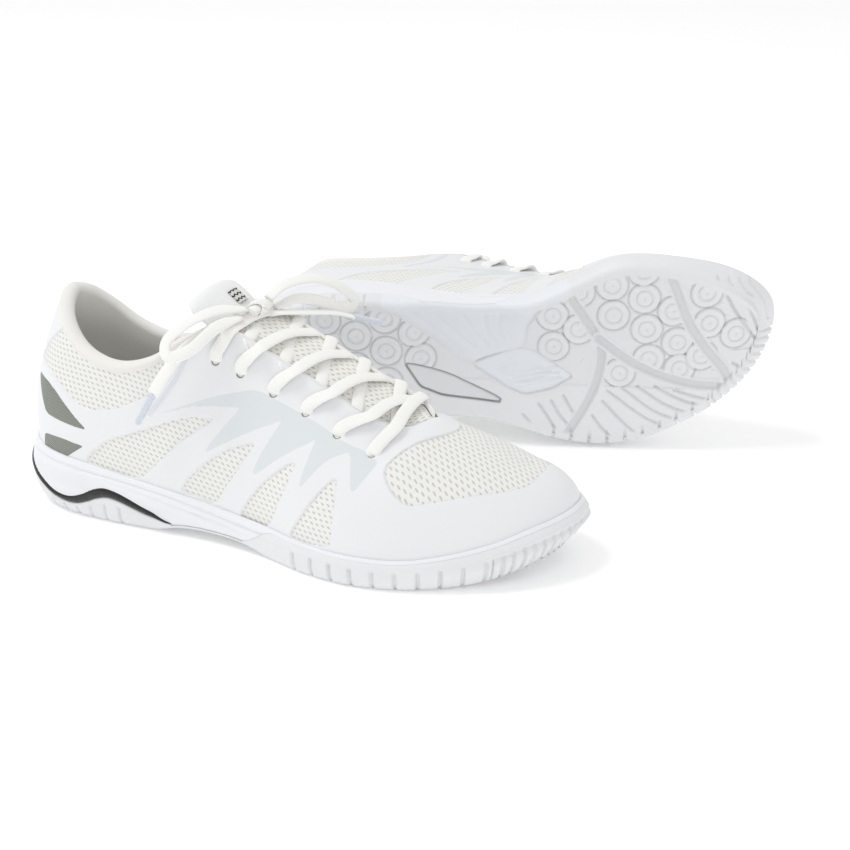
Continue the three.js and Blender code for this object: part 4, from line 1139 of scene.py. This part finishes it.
def sole_piece(name, side, first, last, rows, columns, replaced):
    """Part of the outsole between two shares of the sides: wall, underside and the other wall."""
    shares = np.linspace(first, last, rows)
    sections, foam_rows = [], []
    edges = {}
    for sign in (-1, 1):
        turns = np.where(sign * shares == 0, sign * 1e-9, sign * shares)
        out = outward(turns)
        floor = sole_floor(plan(turns)[:, 0])
        top = rubber_top(turns)
        notch = blocks(turns)
        wall = [side_wall(turns, top - 1.2) - out * 2.4, side_wall(turns, top) - out * 1.6,
                side_wall(turns, top) - out * 0.5, side_wall(turns, top - 0.5)]
        wall[2][:, 2] += 0.25
        for share in np.linspace(0.94, 0.0, 16):
            z = floor + UNDER_ROUND + (top - 0.5 - floor - UNDER_ROUND) * share
            p = side_wall(turns, z)
            depth = NOTCH_DEPTH * notch * (1 - step(share, 0.6, 0.78))
            bumper = 0.9 * math.exp(-(((share - 0.7) / 0.06) ** 2)) * (1 - step(shares, 0.15, 0.165))
            ribs = tread(p[:, :2])[0] * (sign > 0) * (1 - step(shares, 0.16, 0.2))
            ribs = ribs * (1 - step(share, 0.5, 0.8))
            wall.append(p - out * (depth + bumper + ribs)[:, None])
        for angle in (0.25, 0.5, 0.75):
            a = angle * math.pi / 2
            p = side_wall(turns, floor + UNDER_ROUND * (1 - math.sin(a)))
            p = p - out * (UNDER_ROUND * (1 - math.cos(a)) + NOTCH_DEPTH * notch[:, None])
            wall.append(p)
        edge = side_wall(turns, floor) - out * UNDER_ROUND
        edges[sign] = (wall, edge, notch)
    outer_wall, outer_edge, outer_notch = edges[-1]
    inner_wall, inner_edge, inner_notch = edges[1]
    weights = np.linspace(0, 1, columns)
    across = weights[None, :, None]
    under = outer_edge[:, None] * (1 - across) + inner_edge[:, None] * across
    flat = under.reshape(-1, 3)
    sunk, foam, line = tread(flat[:, :2])
    width = np.linalg.norm(outer_edge - inner_edge, axis=1)[:, None]
    from_outer, from_inner = weights[None] * width, (1 - weights[None]) * width
    rim_keep = step(np.minimum(from_outer, from_inner), 1.5, 4.0)
    notch = outer_notch[:, None] * (1 - step(from_outer, 4, 7))
    notch = notch + inner_notch[:, None] * (1 - step(from_inner, 4, 7))
    sunk = sunk.reshape(rows, columns) * rim_keep + 1.1 * notch * (1 - rim_keep * 0.3)
    under[..., 2] = sole_floor(under[..., 0]) + sunk
    grid = np.concatenate([np.stack(outer_wall, 1), under, np.stack(inner_wall[::-1], 1)], 1)
    foam = foam.reshape(rows, columns)
    pad = np.repeat(foam[:, :1], len(outer_wall), 1), np.repeat(foam[:, -1:], len(inner_wall), 1)
    foam = np.concatenate([pad[0], foam, pad[1]], 1)
    blank = np.zeros_like(pad[0]), np.zeros_like(pad[1])
    # deep keeps how far the tread is sunk; the rubber paint turns it into painted shade in the grooves.
    deep = np.concatenate([blank[0], sunk, blank[1]], 1)
    # line carries the painted shade along the triangle's groove to the rubber paint.
    line = np.concatenate([blank[0], line.reshape(rows, columns), blank[1]], 1)
    faces = grid_faces(*grid.shape[:2])
    build(name, side, grid, faces[:, ::-1], RUBBER, {"foam": foam, "deep": deep, "line": line},
          replaces=replaced)


def sole(side):
    sole_piece("outsole_forefoot", side, 0.0, 0.478, 300, 200, ("outsole_forefoot",))
    sole_piece("arch", side, 0.478, 0.685, 130, 160, ("shank",))
    sole_piece("outsole_heel", side, 0.685, 1.0, 190, 160, ("outsole_heel",))


# ==== the upper =================================================================================
# outlines on the skin as (share of the outer side, level)
WINDOWS = [
    [(0.809, 0.11), (0.767, 0.355), (0.685, 0.48), (0.641, 0.51), (0.603, 0.52), (0.66, 0.31),
     (0.71, 0.075), (0.761, 0.08)],
    [(0.646, 0.06), (0.627, 0.17), (0.575, 0.375), (0.537, 0.475), (0.556, 0.275), (0.59, 0.04)],
    [(0.547, 0.015), (0.544, 0.07), (0.511, 0.28), (0.472, 0.49), (0.475, 0.295), (0.496, 0.04)],
    [(0.458, 0.045), (0.438, 0.2), (0.407, 0.52), (0.39, 0.275), (0.387, 0.065)],
]
COLLAR_WINDOW = [
    (0.945, 0.61), (0.906, 0.635), (0.86, 0.61), (0.831, 0.57), (0.80, 0.58), (0.767, 0.63),
    (0.739, 0.70), (0.708, 0.735), (0.684, 1.05), (0.885, 1.05), (0.925, 0.80),
]
VAMP_SIDE = [
    (0.272, 0.96), (0.292, 0.85), (0.333, 0.685), (0.349, 0.58), (0.323, 0.43), (0.292, 0.355), (0.257, 0.39),
    (0.211, 0.445), (0.152, 0.495), (0.095, 0.56), (0.029, 0.75),
]
PRINT = [
    (0.70, 0.55), (0.601, 0.595), (0.57, 0.64), (0.616, 0.275), (0.529, 0.60), (0.512, 0.675), (0.536, 0.245),
    (0.466, 0.62), (0.46, 0.68), (0.454, 0.315), (0.431, 0.595), (0.41, 0.70), (0.375, 0.41), (0.362, 0.645),
    (0.387, 0.735), (0.42, 0.74), (0.46, 0.765), (0.506, 0.765), (0.56, 0.775), (0.595, 0.68), (0.643, 0.595),
]
PIPING = [(0.661, 0.97), (0.677, 0.78), (0.708, 0.575)]
PATCHES = [
    [(0.938, 0.51), (0.90, 0.552), (0.875, 0.545), (0.844, 0.49), (0.806, 0.38), (0.845, 0.36),
     (0.892, 0.32), (0.915, 0.42)],
    [(0.897, 0.17), (0.848, 0.225), (0.81, 0.23), (0.826, 0.16), (0.844, 0.09), (0.901, 0.055)],
]
FILM_HIGH = 0.7
FILM_SUNK = -0.6


def climbed(grid):
    """How far each point lies up its own section, in mm."""
    climb = np.linalg.norm(np.diff(grid, axis=1), axis=2).cumsum(1)
    return np.concatenate([np.zeros((len(grid), 1)), climb], 1)


def cloth_lay(shares, grid):
    """Places on a cloth in mm: along the side, and up the section."""
    up = climbed(grid)
    return np.stack([np.broadcast_to((shares * SIDE_LENGTH)[:, None], up.shape), up, 0 * up], -1)


def lay_out(turns, points):
    """Places on the skin in mm: along the side and up the section, or plan places on the vamp."""
    up = climbed(points)
    along = np.broadcast_to((turns * SIDE_LENGTH)[:, None], up.shape)
    vamp = np.broadcast_to((np.abs(turns) < 0.365)[:, None], up.shape)
    u = np.where(vamp, points[..., 0], along)
    v = np.where(vamp, points[..., 1] + 200, up)
    return np.stack([u, v, np.zeros(u.shape)], -1)


def signed_skin(points, flat, outline, sign):
    ring = softened([(sign * s, v) for s, v in outline], 2, 0.13)
    return signed(points, skin(ring[:, 0], ring[:, 1]), flat, ring)


def signed_vamp(points):
    ring = np.array([(-s, v) for s, v in VAMP_SIDE[::-1]] + VAMP_SIDE)
    solid = softened(skin(ring[:, 0], ring[:, 1]))
    return signed(points, solid, points[:, :2], solid[:, :2])


def skin_grid(columns, rows, low=-0.03):
    turns = np.linspace(-1, 1, columns)
    level = bite_level(turns) + low
    levels = level[:, None] + (1 - level[:, None]) * np.linspace(0, 1, rows)[None]
    return turns, levels


def film_values(columns=901, rows=111):
    """Where the film lies, where it is printed, its piping and its eyelets, for one shoe."""
    turns, levels = skin_grid(columns, rows)
    points = skin(turns[:, None], levels)
    flat_t = np.broadcast_to(turns[:, None], levels.shape)
    flat = np.stack([flat_t, levels], -1).reshape(-1, 2)
    solid = points.reshape(-1, 3)
    film = np.full(len(solid), 8.0)
    printed = np.full(len(solid), -8.0)
    piping = np.full(len(solid), -8.0)
    hole = np.full(len(solid), -8.0)
    for sign in (-1, 1):
        for outline in [*WINDOWS, COLLAR_WINDOW]:
            film = np.minimum(film, -signed_skin(solid, flat, outline, sign))
        printed = np.maximum(printed, signed_skin(solid, flat, PRINT, sign))
        line = np.array([(sign * s, v) for s, v in PIPING])
        path = skin(*curve_through(line, 8).T)
        piping = np.maximum(piping, PIPING_HALF - distance_to(solid, path, closed=False))
        for t, v in [*EYELETS, TOP_ROW]:
            centre = skin(sign * t, v - 0.02)
            hole = np.maximum(hole, EYELET_RADIUS - np.linalg.norm(solid - centre, axis=1))
    film = np.minimum(film, -signed_vamp(solid))
    shape = levels.shape
    return {
        "turns": turns, "levels": levels, "points": points, "film": film.reshape(shape),
        "print": printed.reshape(shape), "piping": piping.reshape(shape), "hole": hole.reshape(shape),
    }


VALUES = film_values()


def upper(side):
    v = VALUES
    turns, levels = v["turns"], v["levels"]
    covered = step(v["film"], -0.45, 0.45)
    off = FILM_SUNK + (FILM_HIGH - FILM_SUNK) * covered
    off = off + 0.25 * step(v["piping"], -0.3, 0.5) * covered
    off = off - 1.3 * step(v["hole"], -0.2, 1.2) * covered
    film = layer(turns[:, None], levels, off)
    lay = lay_out(turns, v["points"])
    faces = grid_faces(*levels.shape)
    build("film", side, film, faces, FILM,
          {"print": v["print"], "piping": v["piping"], "hole": v["hole"], "lay": lay},
          replaces=("film_toe", "film_outer", "film_inner", "heel_counter"))
    turns, levels = skin_grid(481, 61)
    points = layer(turns[:, None], levels, np.zeros(levels.shape))
    build("upper_mesh", side, points, grid_faces(*levels.shape), CLOTH,
          {"lay": lay_out(turns, points)}, replaces=("upper_vamp", "upper_outer", "upper_inner"))


def collar(side):
    """The lining: rolled over the collar's edge, then down the inside to the footbed."""
    turns = np.linspace(-1, 1, 721)
    share = np.abs(turns)
    padded = step(share, 0.635, 0.70)
    open_edge = step(share, 0.332, 0.345)
    thick = LINING_THICK + padded * COLLAR_PUFF
    outer_off = (FILM_HIGH + 0.15 + padded * 0.2) * open_edge - 1.2 * (1 - open_edge)
    rows = []
    for k in np.linspace(0, 1, 7):
        level = 1 - padded * 0.05 * (1 - k)
        off = outer_off * math.sin(k * math.pi / 2) - 0.5 * (1 - k)
        off = np.where(padded > 0.01, off, outer_off)
        rows.append(layer(turns, level, off))
    n = layer(turns, 1.0, 1.0) - layer(turns, 1.0, 0.0)
    up = unit(skin(turns, 1.0) - skin(turns, 0.97)) * open_edge[:, None]
    middle = (outer_off - thick) / 2
    radius = (outer_off + thick) / 2
    centre = layer(turns, 1.0, middle)
    for angle in np.linspace(0, math.pi, 15)[1:]:
        bend = n * math.cos(angle) + up * math.sin(angle) * (0.55 + 0.35 * padded[:, None])
        rows.append(centre + bend * radius[:, None])
    for v in np.linspace(0.97, 0.0, 34):
        puff = padded * COLLAR_PUFF * step(v, 0.45, 0.95)
        rows.append(layer(turns, v, -(LINING_THICK + puff)))
    grid = np.stack(rows, 1)
    build("lining", side, grid, grid_faces(*grid.shape[:2]), LINING,
          {"lay": cloth_lay(turns, grid)}, replaces=("collar_lining",))


def patches(side):
    for name, outline in zip(("heel_patch_high", "heel_patch_low"), PATCHES):
        shares = [s for s, _ in outline]
        heights = [v for _, v in outline]
        turns = -np.linspace(max(shares) + 0.006, min(shares) - 0.006, 110)
        levels = np.linspace(min(heights) - 0.02, max(heights) + 0.02, 60)
        t, v = np.meshgrid(turns, levels, indexing="ij")
        solid = skin(t, v)
        ring = np.array([(-s, h) for s, h in outline])
        ring = softened(ring, 1, 0.12)
        flat = np.stack([t, v], -1).reshape(-1, 2)
        depth = signed(solid.reshape(-1, 3), skin(ring[:, 0], ring[:, 1]), flat, ring).reshape(t.shape)
        grid = layer(t, v, FILM_HIGH - 0.25 + 0.4 * step(depth, -0.25, 0.25))
        keep = depth > -1.2
        faces = grid_faces(*t.shape)
        faces = faces[keep.reshape(-1)[faces].any(1)]
        lay = np.stack([t * SIDE_LENGTH, v * 85, 0 * t], -1)
        build(name, side, grid, faces, PATCH, {"lay": lay}, replaces=(name,))


# ==== tongue ====================================================================================
def tongue(side):
    shares = np.linspace(0.336, 0.60, 66)
    rows = []
    for s in shares:
        low_outer = [layer(-s, v, -1.9) for v in np.linspace(0.72, 1.0, 8)]
        low_inner = [layer(s, v, -1.9) for v in np.linspace(1.0, 0.72, 8)]
        a, b = low_outer[-1], low_inner[0]
        middle = []
        for w in np.linspace(0, 1, 18)[1:-1]:
            p = a + (b - a) * w
            p[2] += math.sin(math.pi * w) * 1.8
            middle.append(p)
        rows.append(low_outer + middle + low_inner)
    grid = np.array(rows)
    build("tongue", side, grid, grid_faces(*grid.shape[:2])[:, ::-1], TONGUE_CLOTH,
          {"lay": cloth_lay(shares, grid)}, replaces=("tongue",))


TAB_ROWS = [(128, 101.9, 18), (121, 107.5, 19.5), (114.5, 112.6, 21), (108, 117.2, 21), (103.5, 120, 18.5)]
TAB_OUT = np.array([0.56, 0.0, 0.83])


def tab_point(x, z, half, w, depth):
    """A point of the tongue's padded top: w runs across it from -1 to 1."""
    p = np.array([x, w * half - 1, z + w * half * 0.06])
    return p + TAB_OUT * (3.2 * (1 - w * w) - 3.2 + depth)


def tongue_tab(side):
    line = curve_through([(x, z, half) for x, z, half in TAB_ROWS], 8)
    loops = []
    count = 40
    for i, (x, z, half) in enumerate(line):
        end = min(1.0, (len(line) - 1 - i) / 7)
        fat = math.sqrt(max(1 - (1 - end) ** 2, 0.02))
        ring = []
        for k in range(count):
            a = 2 * math.pi * k / count
            w = math.copysign(abs(math.cos(a)) ** 0.7, math.cos(a))
            deep = math.copysign(abs(math.sin(a)) ** 0.8, math.sin(a)) * 3.0 * fat - 3.0
            ring.append(tab_point(x, z, half * (0.85 + 0.15 * fat), w, deep))
        loops.append(ring)
    rings = np.array(loops)
    faces = close_rings(rings)
    piece = build("tongue_tab", side, rings, faces, TAB, body="tongue_top", replaces=("tongue_tab",))


def tongue_label(side):
    rows = []
    for share in np.linspace(0, 1, 12):
        x, z = 117.5 + (111 - 117.5) * share, 110.25 + (115.1 - 110.25) * share
        rows.append([tab_point(x, z, 20.5, w, 0.35) for w in np.linspace(0.02, 0.42, 24)])
    grid = np.array(rows)
    up, along = np.meshgrid(np.linspace(0, 7, 12), np.linspace(0, 8, 24), indexing="ij")
    lay = np.stack([along, up, 0 * up], -1)
    piece = build("tongue_label", side, grid, grid_faces(12, 24)[:, ::-1], LABEL, {"lay": lay},
                  body="tongue_top", replaces=("tongue_label",))
    solid = piece.modifiers.new("thick", "SOLIDIFY")
    solid.thickness = 0.0005
    solid.offset = 1.0


# ==== everything ================================================================================
stage()
for side, routes in (("right", BOW_RIGHT), ("left", BOW_LEFT)):
    bow(side, routes)
    laced(side)
    upper(side)
    collar(side)
    patches(side)
    tongue(side)
    tongue_tab(side)
    tongue_label(side)
    midsole(side)
    heel_wave(side)
    sole(side)
    for node, paint in (("strobel_board", BOARD), ("insole", INSOLE)):
        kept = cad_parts[f"{side}_{node}"]
        kept.data.materials.clear()
        kept.data.materials.append(paint)
